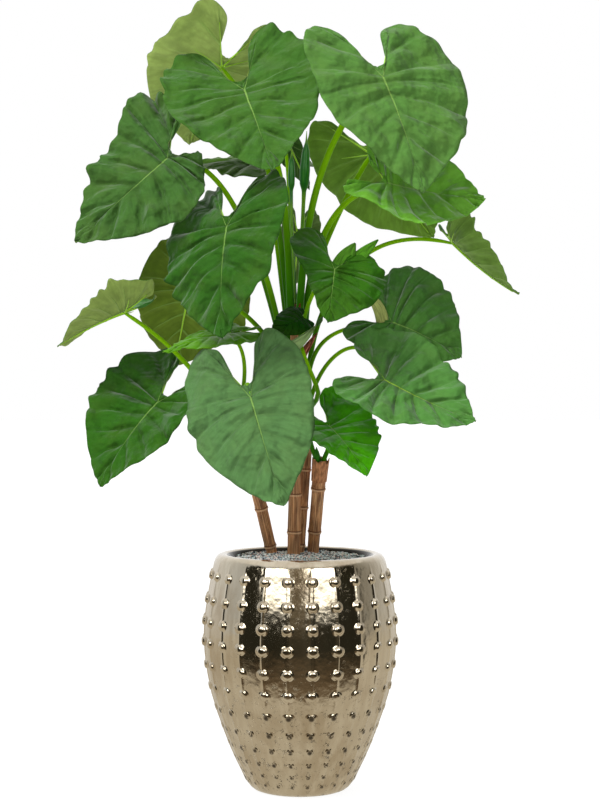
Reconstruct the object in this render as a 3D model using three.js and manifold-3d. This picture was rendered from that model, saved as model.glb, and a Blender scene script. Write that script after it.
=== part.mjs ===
// Giant taro (Alocasia) in a studded metallic planter, in millimetres, +Z up.
// The origin is the middle of the planter's flat base. -Y is the front.
import * as THREE from 'three';
import { mergeVertices } from 'three/addons/utils/BufferGeometryUtils.js';
import Module from 'manifold-3d';

const wasm = await Module();
wasm.setup();

// ---- driving dimensions -------------------------------------------------
const GAP = 0.3; // clearance between pieces that touch

// Planter: outer radius at each height, from the foot to the rim.
const POT_OUTSIDE = [[102, 0], [124, 9], [144, 47], [159, 77], [174, 111], [190, 152], [206, 197],
  [221, 246], [231, 296], [238, 349], [239, 403], [235, 458], [225, 513], [214, 568], [203, 590]];
const POT_FLOOR = 34; // thickness of the bottom
const POT_INSIDE = [[184, 592], [173, 582], [176, 549], [203, 430], [205, 370], [180, 210],
  [118, 60], [100, POT_FLOOR]];
const POT_SIDES = 24;
const SOIL_TOP = 552;
const GRAVEL_TOP = 582;
const GRAVEL_DROP = 10; // how much lower the bed is at the wall
const GRAVEL_RINGS = [0.87, 0.65, 0.44, 0.22]; // shares of the bed's radius
const GRAVEL_BUMP = 2.5; // how far the bed's top rises and falls

// Studs: columns round the planter, and the height of each row.
const STUD_COLUMNS = 24;
const STUD_ROWS = [31, 57, 88, 124, 165, 212, 265, 319, 376, 428, 482, 541];
const STUD_SIZE = 0.052; // stud radius as a share of the planter's radius there
const STUD_HEIGHT = 0.6; // how far a stud stands out, as a share of its radius
const STUD_SUNK = 4; // how deep its root goes into the wall
const STUD_SIDES = 6;

// Canes: foot, top (both on the axis), radius at the foot and at the top, and ring spacing.
const CANE_SIDES = 8;
const CANE_RING = 1.4; // how far a ring stands out
const CANE_WAIST = [9, 0.6]; // how far below a ring the cane is thinner, and by how much
const CANE_SHOULDER = 7; // length of the slope above a ring
const CANE_CHAMFER = [8, 5]; // height and width of the chamfer at the top
const CANES = {
  cane_1: { foot: [-54, 124, 506], top: [-147, 0, 915], radius: [13, 19], ring: 104 },
  cane_2: { foot: [-17, 69, 450], top: [-8, 0, 1215], radius: [17, 15], ring: 96 },
  cane_3: { foot: [-8, 110, 508], top: [22, 56, 930], radius: [14, 15], ring: 98 },
  cane_4: { foot: [20, 159, 418], top: [52, 40, 822], radius: [13, 18], ring: 116 },
};

// Blade: half of a leaf's outline, from the notch at the stalk round the lobe to the tip, as
// [sideways, along] in shares of the length from the stalk to the tip.
const HALF_OUTLINE = [[0, -0.10], [0.09, -0.16], [0.18, -0.47], [0.37, -0.57], [0.54, -0.44],
  [0.64, -0.14], [0.63, 0.18], [0.51, 0.47], [0.31, 0.73], [0.11, 0.92], [0, 1]];
const BLADE_THICKNESS = 1.8;
const BLADE_RAYS = 12; // on each half
const BLADE_RINGS = [0.5, 1]; // reach of each ring from the stalk, as a share of the outline's
const MARGIN_WAVES = 4; // waves of the margin on each half
const SCALLOP = 0.015; // how far the waves also bring the margin in and out
const LEFT_PHASE = 1.7; // how far the left half's waves are ahead of the right half's (radians)
const SHOULDER = [0.42, 0.62]; // where on the outline the wider lobe begins to narrow, and ends
const STALK_SIDES = 5;
const STALK_STEPS = 8;
const FLAT = 1e-3; // bend of a flat stretch
const STALK_TAPER = 0.3; // share of its radius that a stalk loses on its way to the blade
const STALK_BITE = 2; // how far a stalk's foot is cut to the cane it sits against

// Leaves. cane and height: where the stalk starts. rise and arrive: the points that pull the stalk's
// curve as it leaves the cane and as it reaches the blade. junction and tip: the ends of the midrib.
// faces: where the upper side looks. widths and lobes: right and left, as shares of the outline's.
// shoulder: how much wider still the right and left lobes are. bend: how far the midrib arches
// towards the tip and towards the lobes (radians per length). curl: how far the right and left sides
// arch down. wave: height of the margin's waves, as a share of the length. stalk: radius of the
// stalk at its foot.
const LEAVES = {
  leaf_top_back: { cane: 'cane_2', height: 1170, rise: [-48, 22, 1340], arrive: [-60, 90, 1660],
    junction: [-202, 160, 1830], tip: [-295, 340, 1647], faces: [-0.35, 0.75, 0.55],
    widths: [1.1, 0.8], lobes: [1.4, 1], bend: [0.25, 0], curl: [-0.1, 0.1], wave: 0.02, stalk: 8 },
  leaf_top_front: { cane: 'cane_2', height: 1160, rise: [-35, -35, 1330], arrive: [-15, -40, 1575],
    junction: [-138, -60, 1742], tip: [-63, -245, 1525], faces: [-0.1, -0.65, 0.75],
    widths: [1, 1.05], lobes: [1.2, 1], bend: [0.2, -0.15], curl: [-0.4, -0.3], wave: 0.02, stalk: 10 },
  leaf_top_right: { cane: 'cane_2', height: 1150, rise: [5, -40, 1350], arrive: [25, -60, 1620],
    junction: [202, -100, 1768], tip: [296, -205, 1477], faces: [0.4, -0.85, 0.35],
    widths: [1.12, 0.88], lobes: [1, 1.03], bend: [0.25, 0.5], curl: [0.2, 0.15], wave: 0.02, stalk: 10 },
  leaf_left_high: { cane: 'cane_2', height: 1055, rise: [-75, 14, 1200], arrive: [-140, -45, 1590],
    junction: [-326, -60, 1573], tip: [-550, -100, 1364], faces: [-0.35, -0.85, 0.4],
    widths: [0.85, 0.8], lobes: [0.35, 0.65], shoulder: [-0.4, 0.5], bend: [0.1, 0.4], curl: [0.6, -0.1],
    wave: 0.035, stalk: 8 },
  leaf_left_mid: { cane: 'cane_2', height: 1040, rise: [-65, -40, 1180], arrive: [-80, -120, 1385],
    junction: [-176, -200, 1396], tip: [-184, -315, 1127], faces: [-0.58, -0.75, 0.3],
    widths: [0.86, 1.06], lobes: [0.9, 1.03], bend: [0.3, 0.7], curl: [0.4, 0.4], wave: 0.025, stalk: 8 },
  leaf_left_back: { cane: 'cane_2', height: 1020, rise: [-60, 25, 1130], arrive: [-155, 130, 1235],
    junction: [-284, 150, 1260], tip: [-329, 255, 1057], faces: [0, 0.8, 0.6],
    widths: [0.9, 1.1], lobes: [1.07, 1], bend: [0.2, 0.2], curl: [0.8, 0.8], wave: 0.02, stalk: 7 },
  leaf_left_far: { cane: 'cane_1', height: 850, rise: [-200, 0, 990], arrive: [-310, 20, 1110],
    junction: [-441, 10, 1198], tip: [-606, -5, 1110], faces: [-0.27, 0.2, 0.95],
    widths: [1.1, 1], lobes: [0.9, 0.85], bend: [0.2, -0.2], curl: [-0.9, -0.9], wave: 0.03, stalk: 7 },
  leaf_low_left: { cane: 'cane_1', height: 835, rise: [-150, -50, 955], arrive: [-270, 10, 925],
    junction: [-353, -40, 971], tip: [-490, -112, 766], faces: [-0.4, -0.65, 0.63],
    widths: [0.92, 1.1], lobes: [0.97, 1.1], bend: [0.45, 0.2], curl: [-0.6, -0.5], wave: 0.03, stalk: 7 },
  leaf_low_front: { cane: 'cane_1', height: 915, rise: [-140, -130, 980], arrive: [-125, -250, 1060],
    junction: [-117, -270, 988], tip: [-38, -365, 736], faces: [-0.3, -0.9, 0.27],
    widths: [0.82, 0.98], lobes: [1, 1.13], bend: [0.15, 0.4], curl: [0.75, 0.65], wave: 0.02, stalk: 7 },
  leaf_left_narrow: { cane: 'cane_1', height: 915, rise: [-155, 30, 985], arrive: [-110, -30, 1070],
    junction: [-168, -70, 1142], tip: [-335, -120, 1093], faces: [-0.3, -0.34, 1],
    widths: [0.8, 0.8], lobes: [0.9, 0.9], bend: [0.3, 0.3], curl: [0.3, 0.3], wave: 0.02, stalk: 6 },
  leaf_mid_small: { cane: 'cane_2', height: 1050, rise: [-3, -50, 1150], arrive: [22, -95, 1265],
    junction: [83, -190, 1294], tip: [66, -275, 1165], faces: [0.2, -0.8, 0.5],
    widths: [1.3, 0.65], lobes: [0.8, 1.45], shoulder: [0, 0.9], bend: [0.2, 0.2], curl: [0.3, 0.3],
    wave: 0.02, stalk: 6 },
  leaf_crown_small: { cane: 'cane_2', height: 990, rise: [-10, -75, 1030], arrive: [15, -130, 1130],
    junction: [6, -155, 1177], tip: [-70, -195, 1133], faces: [-0.1, -0.85, 0.5],
    widths: [0.65, 0.85], lobes: [0.3, 0.4], bend: [0.4, 0.4], curl: [0.8, 0.8], wave: 0.03, stalk: 4 },
  leaf_right_back: { cane: 'cane_3', height: 930, rise: [5, 0, 1140], arrive: [80, 75, 1158],
    junction: [228, -20, 1169], tip: [402, -25, 1080], faces: [0.15, -0.85, 0.4],
    widths: [1.5, 0.75], lobes: [0.8, 0.95], bend: [0.6, 0.4], curl: [0.3, 0.2], wave: 0.025, stalk: 6 },
  leaf_right_low: { cane: 'cane_4', height: 822, rise: [-45, -15, 1000], arrive: [150, 40, 1230],
    junction: [205, -160, 1027], tip: [420, -225, 929], faces: [0.2, -0.67, 0.7],
    widths: [1.1, 0.95], lobes: [0.9, 0.7], bend: [-0.2, 0.5], curl: [-0.3, -0.5], wave: 0.02, stalk: 6 },
  leaf_right_small: { cane: 'cane_4', height: 822, rise: [85, 0, 880], arrive: [95, -110, 950],
    junction: [72, -160, 915], tip: [160, -250, 802], faces: [0.42, -0.64, 0.65],
    widths: [1.1, 0.94], lobes: [1.18, 1], bend: [0.3, -0.4], curl: [-0.6, -0.5], wave: 0.025, stalk: 6 },
  leaf_right_high: { cane: 'cane_2', height: 1130, rise: [20, 0, 1325], arrive: [60, -30, 1485],
    junction: [216, -60, 1512], tip: [461, -30, 1476], faces: [0.22, -0.78, 0.6],
    widths: [1.03, 1.08], lobes: [0.4, 0.8], shoulder: [0, -0.5], bend: [-0.3, 0.3],
    curl: [-0.6, -0.9], wave: 0.02, stalk: 9 },
  leaf_right_behind: { cane: 'cane_2', height: 1140, rise: [6, 30, 1250], arrive: [95, 110, 1470],
    junction: [186, 150, 1603], tip: [344, 170, 1390], faces: [0.35, 0.71, 0.6],
    widths: [1.05, 1], lobes: [1.03, 1], bend: [-0.2, 0.2], curl: [0.1, 0.2], wave: 0.02, stalk: 9 },
  leaf_right_far: { cane: 'cane_3', height: 930, rise: [5, 80, 1175], arrive: [110, 75, 1435],
    junction: [390, 90, 1377], tip: [554, 75, 1241], faces: [0.5, 0, 0.87],
    widths: [0.85, 1.1], lobes: [0.5, 0.35], bend: [-0.3, 0.4], curl: [-0.5, -1.2], wave: 0.03, stalk: 7 },
  leaf_back_top: { cane: 'cane_2', height: 1085, rise: [-50, 60, 1250], arrive: [-60, 170, 1480],
    junction: [-112, 340, 1607], tip: [-279, 480, 1613], faces: [-0.2, -0.1, 1],
    widths: [1, 1], lobes: [1, 1], bend: [0.3, 0.3], curl: [0.3, 0.3], wave: 0.02, stalk: 7 },
  leaf_back_mid: { cane: 'cane_2', height: 1190, rise: [-18, 52, 1350], arrive: [-30, 130, 1560],
    junction: [-39, 170, 1655], tip: [25, 240, 1519], faces: [0.1, 0.9, 0.5],
    widths: [0.45, 0.3], lobes: [0.8, 0.8], bend: [0.2, 0.2], curl: [0.3, 0.3], wave: 0.02, stalk: 6 },
  leaf_back_low: { cane: 'cane_2', height: 1070, rise: [0, 55, 1180], arrive: [10, 120, 1330],
    junction: [-5, 180, 1400], tip: [-15, 260, 1270], faces: [0.1, 0.9, 0.5],
    widths: [0.45, 0.6], lobes: [1, 1], bend: [0.2, 0.2], curl: [0.3, 0.3], wave: 0.02, stalk: 6 },
};

// Rolled young leaves: a long stalk that ends in a spindle. spindle: its radius and length.
const SPINDLE = [[0.45, 0], [0.9, 0.12], [1, 0.35], [0.75, 0.65], [0.2, 0.82], [0, 1]]; // shares of both
const SPEARS = {
  spear_front: { cane: 'cane_2', foot: [0, 5, 1211], rise: [3, 8, 1356], arrive: [10, 20, 1502],
    junction: [17, 20, 1648], spindle: [13, 150], stalk: 6 },
  spear_back: { cane: 'cane_2', foot: [-14, -4, 1211], rise: [-22, 10, 1344], arrive: [-22, 30, 1477],
    junction: [-21, 40, 1610], spindle: [9, 110], stalk: 5 },
};

// ---- helpers --------------------------------------------------------------
const vec = (p) => new THREE.Vector3(...p);

function toSolid(geometry) {
  const g = geometry.clone();
  for (const name of ['normal', 'uv']) g.deleteAttribute(name);
  const merged = mergeVertices(g.index ? g.toNonIndexed() : g, 1e-4);
  return new wasm.Manifold(new wasm.Mesh({
    numProp: 3,
    vertProperties: new Float32Array(merged.attributes.position.array),
    triVerts: new Uint32Array(merged.index.array),
  }));
}

function toGeometry(solid) {
  const mesh = solid.getMesh();
  const geometry = new THREE.BufferGeometry();
  geometry.setAttribute('position', new THREE.BufferAttribute(mesh.vertProperties, 3));
  geometry.setIndex(new THREE.BufferAttribute(mesh.triVerts, 1));
  geometry.computeVertexNormals();
  return geometry;
}

const group = new THREE.Group();

function addPiece(name, solid, look) {
  const mesh = new THREE.Mesh(toGeometry(solid), new THREE.MeshStandardMaterial(look));
  mesh.name = name;
  group.add(mesh);
}

// A turned body round the Z axis. The profile is a list of [radius, height], closed on the axis.
function turned(profile, sides) {
  const points = profile.map(([r, z]) => new THREE.Vector2(r, z));
  return new THREE.LatheGeometry(points, sides).rotateX(Math.PI / 2);
}

// A turned body bent along a curve: profile is a list of [radius, share of the curve's length].
function turnedAlong(curve, profile, sides) {
  const body = new THREE.LatheGeometry(profile.map(([r, s]) => new THREE.Vector2(r, s)), sides);
  const position = body.attributes.position;
  const point = new THREE.Vector3();
  const tangent = new THREE.Vector3();
  const across = new THREE.Vector3();
  const front = new THREE.Vector3(0, -1, 0);
  for (let i = 0; i < position.count; i += 1) {
    const share = position.getY(i);
    curve.getPoint(share, point);
    curve.getTangent(share, tangent);
    across.crossVectors(front, tangent).normalize();
    const out = new THREE.Vector3().crossVectors(across, tangent);
    point.addScaledVector(across, position.getX(i)).addScaledVector(out, position.getZ(i));
    position.setXYZ(i, point.x, point.y, point.z);
  }
  return body;
}

// ---- planter ----------------------------------------------------------------
function radiusAt(profile, height) {
  for (let i = 1; i < profile.length; i += 1) {
    const [[r0, z0], [r1, z1]] = [profile[i - 1], profile[i]];
    if ((height - z0) * (height - z1) <= 0) {
      return [r0 + ((r1 - r0) * (height - z0)) / (z1 - z0), Math.atan2(r1 - r0, z1 - z0)];
    }
  }
  throw new Error(`no wall at height ${height}`);
}

function stud(column, height) {
  const [radius, slope] = radiusAt(POT_OUTSIDE, height);
  const size = STUD_SIZE * radius;
  const length = STUD_SUNK + size * STUD_HEIGHT;
  const root = size * (length / (length - STUD_SUNK)); // the cone is as wide as the stud at the wall
  const dome = new THREE.ConeGeometry(root, length, STUD_SIDES);
  dome.rotateZ(-Math.PI / 2); // the stud's axis along +X, its top outwards
  dome.translate(length / 2 - STUD_SUNK, 0, 0);
  dome.rotateY(slope);
  dome.translate(radius, 0, height);
  dome.rotateZ(((column + 0.5) / STUD_COLUMNS) * 2 * Math.PI);
  return toSolid(dome);
}

const potProfile = [[0, 0], ...POT_OUTSIDE, ...POT_INSIDE, [0, POT_FLOOR]];
const potWall = toSolid(turned(potProfile, POT_SIDES));
const studs = STUD_ROWS.flatMap((height) =>
  Array.from({ length: STUD_COLUMNS }, (_, column) => stud(column, height)));
addPiece('pot', wasm.Manifold.union([potWall, ...studs]),
  { color: 0xa08c70, roughness: 0.2, metalness: 1 });

// ---- canes ------------------------------------------------------------------
// The cane's body, with every radius larger by a margin.
function caneSolid(cane, margin) {
  const axis = new THREE.LineCurve3(vec(cane.foot), vec(cane.top));
  const length = axis.getLength();
  const profile = [[0, -margin / length]];
  const put = (distance, extra) => {
    const share = distance / length;
    const radius = THREE.MathUtils.lerp(...cane.radius, share) + extra + margin;
    profile.push([radius, share]);
  };
  put(-margin, 0);
  for (let at = cane.ring; at < length - cane.ring / 4; at += cane.ring) {
    put(at - CANE_WAIST[0], -CANE_WAIST[1]);
    put(at, CANE_RING);
    put(at + CANE_SHOULDER, 0);
  }
  put(length - CANE_CHAMFER[0], 0);
  put(length + margin, -CANE_CHAMFER[1]);
  profile.push([0, 1 + margin / length]);
  return toSolid(turnedAlong(axis, profile, CANE_SIDES));
}

for (const [name, cane] of Object.entries(CANES)) {
  addPiece(name, caneSolid(cane, 0), { color: 0x8c5a3c, roughness: 0.85, metalness: 0 });
}
const caneHoles = Object.fromEntries(
  Object.entries(CANES).map(([name, cane]) => [name, caneSolid(cane, GAP)]));
const withoutCanes = (body) => Object.values(caneHoles).reduce((rest, hole) => rest.subtract(hole), body);

// ---- soil and gravel ----------------------------------------------------------
// The fill between two heights, clear of the planter's inside by the gap.
function fillProfile(low, high) {
  const wall = POT_INSIDE.filter(([, z]) => z > low && z < high).reverse();
  const edge = [[radiusAt(POT_INSIDE, low)[0], low], ...wall, [radiusAt(POT_INSIDE, high)[0], high]];
  return [[0, low], ...edge.map(([r, z]) => [r - GAP, z]), [0, high]];
}

const soil = toSolid(turned(fillProfile(POT_FLOOR + GAP, SOIL_TOP), POT_SIDES));
addPiece('soil', withoutCanes(soil), { color: 0x3a2c22, roughness: 1, metalness: 0 });

function gravelBody() {
  const low = SOIL_TOP + GAP;
  const rim = GRAVEL_TOP - GRAVEL_DROP;
  const edge = radiusAt(POT_INSIDE, rim)[0] - GAP;
  const rings = GRAVEL_RINGS.map((share) => [edge * share, GRAVEL_TOP]);
  const profile = [[0, low], [radiusAt(POT_INSIDE, low)[0] - GAP, low], [edge, rim], ...rings];
  const bed = turned([...profile, [0, GRAVEL_TOP]], POT_SIDES);
  const position = bed.attributes.position;
  for (let i = 0; i < position.count; i += 1) {
    const [x, y, z] = [position.getX(i), position.getY(i), position.getZ(i)];
    if (z === GRAVEL_TOP) {
      position.setZ(i, z + GRAVEL_BUMP * Math.sin(x / 11) * Math.cos(y / 14));
    }
  }
  return toSolid(bed);
}
addPiece('gravel', withoutCanes(gravelBody()), { color: 0x7c8489, roughness: 0.95, metalness: 0 });

// ---- leaves -------------------------------------------------------------------
// Smooth curve through the half outline: share 0 is the notch, 1 is the tip.
const halfCurve = new THREE.SplineCurve(HALF_OUTLINE.map(([u, v]) => new THREE.Vector2(u, v)));

// A point of the outline of one half (side is 1 or -1).
function outlinePoint(leaf, side, share) {
  const point = halfCurve.getPoint(share);
  const which = side > 0 ? 0 : 1;
  const phase = 2 * Math.PI * MARGIN_WAVES * share + side * LEFT_PHASE;
  point.multiplyScalar(1 + SCALLOP * Math.sin(phase));
  const lobe = 1 - THREE.MathUtils.smoothstep(share, ...SHOULDER);
  point.x *= side * leaf.widths[which] * (1 + (leaf.shoulder?.[which] ?? 0) * lobe);
  if (point.y < 0) point.y *= leaf.lobes[which];
  return point;
}

// A point of the blade in space, from flat [sideways, along] and the height off the blade.
function bladePlacer(leaf) {
  const start = vec(leaf.junction);
  const along = vec(leaf.tip).sub(start);
  const length = along.length();
  along.normalize();
  const up = vec(leaf.faces);
  up.addScaledVector(along, -up.dot(along)).normalize();
  const sideways = new THREE.Vector3().crossVectors(up, along);
  const [tipBend, lobeBend] = leaf.bend.map((value) => value || FLAT);
  const [rightCurl, leftCurl] = leaf.curl.map((value) => value || FLAT);
  const chord = (2 * Math.sin(tipBend / 2)) / tipBend;
  const [cosine, sine] = [Math.cos(tipBend / 2), Math.sin(tipBend / 2)];
  return (u, v, lift) => {
    const bend = v > 0 ? tipBend : lobeBend;
    const curl = u > 0 ? rightCurl : leftCurl;
    const drop = lift - (1 - Math.cos(bend * v)) / bend - (1 - Math.cos(curl * u)) / curl;
    const forward = Math.sin(bend * v) / bend;
    const x = Math.sin(curl * u) / curl;
    const y = forward * cosine - drop * sine;
    const z = forward * sine + drop * cosine;
    return start.clone()
      .addScaledVector(sideways, (x * length) / chord)
      .addScaledVector(along, (y * length) / chord)
      .addScaledVector(up, (z * length) / chord);
  };
}

function bladeSolid(leaf) {
  const length = vec(leaf.junction).distanceTo(vec(leaf.tip));
  const place = bladePlacer(leaf);
  const half = BLADE_THICKNESS / 2 / length;
  const rays = [];
  for (let i = 0; i < BLADE_RAYS; i += 1) rays.push([1, i / BLADE_RAYS]);
  for (let i = BLADE_RAYS; i > 0; i -= 1) rays.push([-1, i / BLADE_RAYS]);
  const positions = [];
  const put = (u, v, lift) => positions.push(...place(u, v, lift).toArray());
  for (const face of [1, -1]) {
    put(0, 0, face * half);
    for (const reach of BLADE_RINGS) {
      for (const [side, share] of rays) {
        const edge = outlinePoint(leaf, side, share);
        const phase = 2 * Math.PI * MARGIN_WAVES * share + (side > 0 ? 0 : LEFT_PHASE);
        const calm = Math.sin(Math.PI * share); // no wave at the notch and the tip
        const wave = leaf.wave * reach ** 2 * Math.sin(phase) * calm;
        put(edge.x * reach, edge.y * reach, wave + face * half);
      }
    }
  }
  const count = rays.length;
  const rings = BLADE_RINGS.length;
  const perFace = 1 + rings * count;
  const index = [];
  const at = (face, ring, ray) => face * perFace + 1 + (ring - 1) * count + (ray % count);
  for (let ray = 0; ray < count; ray += 1) {
    for (const face of [0, 1]) {
      const tri = (a, b, c) => index.push(...(face === 0 ? [a, c, b] : [a, b, c]));
      tri(face * perFace, at(face, 1, ray), at(face, 1, ray + 1));
      for (let ring = 1; ring < rings; ring += 1) {
        const [a, b] = [at(face, ring, ray), at(face, ring, ray + 1)];
        const [c, d] = [at(face, ring + 1, ray), at(face, ring + 1, ray + 1)];
        tri(a, c, d);
        tri(a, d, b);
      }
    }
    const [a, b] = [at(0, rings, ray), at(0, rings, ray + 1)];
    const [c, d] = [at(1, rings, ray), at(1, rings, ray + 1)];
    index.push(a, d, c, a, b, d);
  }
  const blade = new THREE.BufferGeometry();
  blade.setAttribute('position', new THREE.BufferAttribute(new Float32Array(positions), 3));
  blade.setIndex(index);
  return toSolid(blade);
}

// Where a stalk's axis starts: beside the cane, on the side that the stalk leaves to, or near the
// edge of the cane's top.
function stalkFoot(leaf) {
  const cane = CANES[leaf.cane];
  const [foot, top] = [vec(cane.foot), vec(cane.top)];
  const share = (leaf.height - foot.z) / (top.z - foot.z);
  const base = foot.clone().lerp(top, share);
  const out = vec(leaf.rise).sub(base).setZ(0).normalize();
  if (share >= 1) {
    base.z -= STALK_BITE;
    return base.addScaledVector(out, cane.radius[1] - leaf.stalk - STALK_BITE);
  }
  const radius = THREE.MathUtils.lerp(...cane.radius, share);
  return base.addScaledVector(out, radius + leaf.stalk - STALK_BITE);
}

function stalkCurve(leaf, foot) {
  return new THREE.CubicBezierCurve3(foot, vec(leaf.rise), vec(leaf.arrive), vec(leaf.junction));
}

function stalkSolid(leaf) {
  const profile = [[0, 0]];
  for (let step = 0; step <= STALK_STEPS; step += 1) {
    const share = step / STALK_STEPS;
    profile.push([leaf.stalk * (1 - STALK_TAPER * share), share]);
  }
  profile.push([0, 1]);
  return toSolid(turnedAlong(stalkCurve(leaf, stalkFoot(leaf)), profile, STALK_SIDES));
}

const LEAF_LOOK = { color: 0x3f7a38, roughness: 0.45, metalness: 0, side: THREE.DoubleSide };
for (const [name, leaf] of Object.entries(LEAVES)) {
  const body = bladeSolid(leaf).add(stalkSolid(leaf));
  addPiece(name, body.subtract(caneHoles[leaf.cane]), LEAF_LOOK);
}

function spearSolid(spear) {
  const curve = stalkCurve(spear, vec(spear.foot));
  const [radius, long] = spear.spindle;
  const start = 1 - long / curve.getLength();
  const profile = [[0, 0], [spear.stalk, 0], [spear.stalk, start / 2],
    ...SPINDLE.map(([share, along]) => [radius * share, start + (1 - start) * along])];
  return toSolid(turnedAlong(curve, profile, STALK_SIDES));
}
for (const [name, spear] of Object.entries(SPEARS)) {
  addPiece(name, spearSolid(spear).subtract(caneHoles[spear.cane]), LEAF_LOOK);
}

export default group;
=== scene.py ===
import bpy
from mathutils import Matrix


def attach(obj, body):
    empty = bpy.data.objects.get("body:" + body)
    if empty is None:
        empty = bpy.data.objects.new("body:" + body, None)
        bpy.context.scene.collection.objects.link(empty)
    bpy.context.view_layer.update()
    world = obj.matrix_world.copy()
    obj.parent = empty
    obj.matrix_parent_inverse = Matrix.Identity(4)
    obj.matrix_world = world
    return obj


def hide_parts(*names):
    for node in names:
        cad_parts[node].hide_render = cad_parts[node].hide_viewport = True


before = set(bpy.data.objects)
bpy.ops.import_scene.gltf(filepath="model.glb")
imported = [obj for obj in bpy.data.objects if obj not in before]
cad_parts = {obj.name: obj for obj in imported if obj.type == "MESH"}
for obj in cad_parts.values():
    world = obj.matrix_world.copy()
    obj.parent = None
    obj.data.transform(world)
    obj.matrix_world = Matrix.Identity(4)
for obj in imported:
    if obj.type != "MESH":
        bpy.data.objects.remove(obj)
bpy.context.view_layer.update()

import math

import bpy
import numpy as np
from mathutils import Vector, noise

# ---- Studio -------------------------------------------------------------------
# A pale floor in a white room, seen from the front. The room is dark behind the camera, but for
# two large windows, and the glazed planter mirrors all of it.
CAMERA_PLACE = Vector((0.0, -5.07, 1.078))
CAMERA_AIM = Vector((0.0, 0.0, 0.975))
CAMERA_LENS = 91.3
FLOOR_SIZE = 60.0
FLOOR_COLOUR = (0.12, 0.12, 0.12, 1.0)
FLOOR_GLOW = 0.93  # a floor lit from below, so that shadows on it stay faint
WALL_LIGHT = (1.0, 1.0, 1.0)
LEFT_LIGHT, RIGHT_LIGHT = (0.62, 0.65, 0.68), (0.34, 0.33, 0.30)  # the walls beside the dark part
FLOOR_LIGHT = (0.65, 0.60, 0.50)
DARK_TOP = (0.027, 0.026, 0.018)
DARK_FOOT = (0.19, 0.135, 0.08)
PILLAR = (0.24, 0.20, 0.14)
WINDOW_LIGHT = (5.2, 5.2, 5.1)
BACKDROP = (1.0, 1.0, 1.0)
ROOM_SHARE = 0.45  # of the room's light, beside that of the soft light overhead
SOFT_LIGHT = dict(comes_from=(-0.48, -0.36, 0.80), power=3.0, spread=25.0)
# Bearings are in degrees from straight behind the camera, and climbs in degrees over the horizon.
DARK_BEARING, DARK_WIDTH = 4.0, 82.0
DARK_CLIMB, DARK_DROP = 39.0, -36.0
DARK_ROUND = 0.0028  # how fast the dark part's lower edge rises to the sides
WINDOWS = [(-34.0, 20.0), (28.0, 22.0)]  # bearing and half width of each window
WINDOW_FOOT, WINDOW_HEAD = (6.0, 20.0), (34.0, 38.0)  # climbs over which the windows fade
PILLAR_BEARING, PILLAR_WIDTH = -3.5, 9.0  # the wall between the windows
PILLAR_CLIMB = (-8, 20)
FOOT_EDGE, HEAD_EDGE, SIDE_EDGE = 4, 3, 4  # how soft the edges of the dark part are, in degrees
WINDOW_EDGE, PILLAR_EDGE = 3, 5
GLOW_WIDTH, GLOW_EDGE, GLOW_SHARE = 12, 30, 0.2  # the dark part is lighter in its middle
DARK_TURN = (-36, -10)  # climbs over which DARK_FOOT turns into DARK_TOP
SIDE_TURN = (-20, 20)  # bearings over which the left light turns into the right one
WALL_TURN = (78, 175)  # bearings off the dark part over which the walls grow white
CEILING_TURN = (38, 50)
FLOOR_TURN = (-12, 4)


class Value:
    """A number, vector or colour that nodes work out. Numbers are used as Python's are."""

    def __init__(self, nodes, socket):
        self.nodes = nodes
        self.socket = socket

    def math(self, operation, *others):
        inputs = dict(enumerate((self, *others)))
        return self.nodes.node("ShaderNodeMath", {"operation": operation}, inputs)

    def __add__(self, other):
        return self.math("ADD", other)

    def __sub__(self, other):
        return self.math("SUBTRACT", other)

    def __mul__(self, other):
        return self.math("MULTIPLY", other)

    def __rsub__(self, other):
        return self * -1 + other

    __radd__ = __add__
    __rmul__ = __mul__

    def within(self, low, high):
        """0 up to low, 1 from high on, smooth between."""
        inputs = {"Value": self, "From Min": low, "From Max": high}
        settings = {"interpolation_type": "SMOOTHSTEP"}
        return self.nodes.node("ShaderNodeMapRange", settings, inputs)

    def near(self, middle, reach, soft):
        """1 closer to middle than reach, 0 further off, with a soft edge."""
        return 1 - (self - middle).math("ABSOLUTE").within(reach - soft, reach + soft)


class Nodes:
    """The nodes of a material or a world."""

    def __init__(self, tree):
        self.tree = tree

    def node(self, kind, settings=None, inputs=None, output=0):
        made = self.tree.nodes.new(kind)
        for key, value in (settings or {}).items():
            setattr(made, key, value)
        for key, value in (inputs or {}).items():
            if isinstance(value, Value):
                self.tree.links.new(value.socket, made.inputs[key])
            else:
                made.inputs[key].default_value = value
        return Value(self, made.outputs[output])

    def mix(self, factor, first, second):
        """The colour first where factor is 0, second where it is 1."""
        inputs = {0: factor}
        for key, colour in ((6, first), (7, second)):
            inputs[key] = colour if isinstance(colour, Value) else (*colour, 1.0)
        return self.node("ShaderNodeMix", {"data_type": "RGBA"}, inputs, 2)

    def axes(self, vector):
        """The three numbers of a vector."""
        return [self.node("ShaderNodeSeparateXYZ", None, {0: vector}, i) for i in range(3)]


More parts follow.
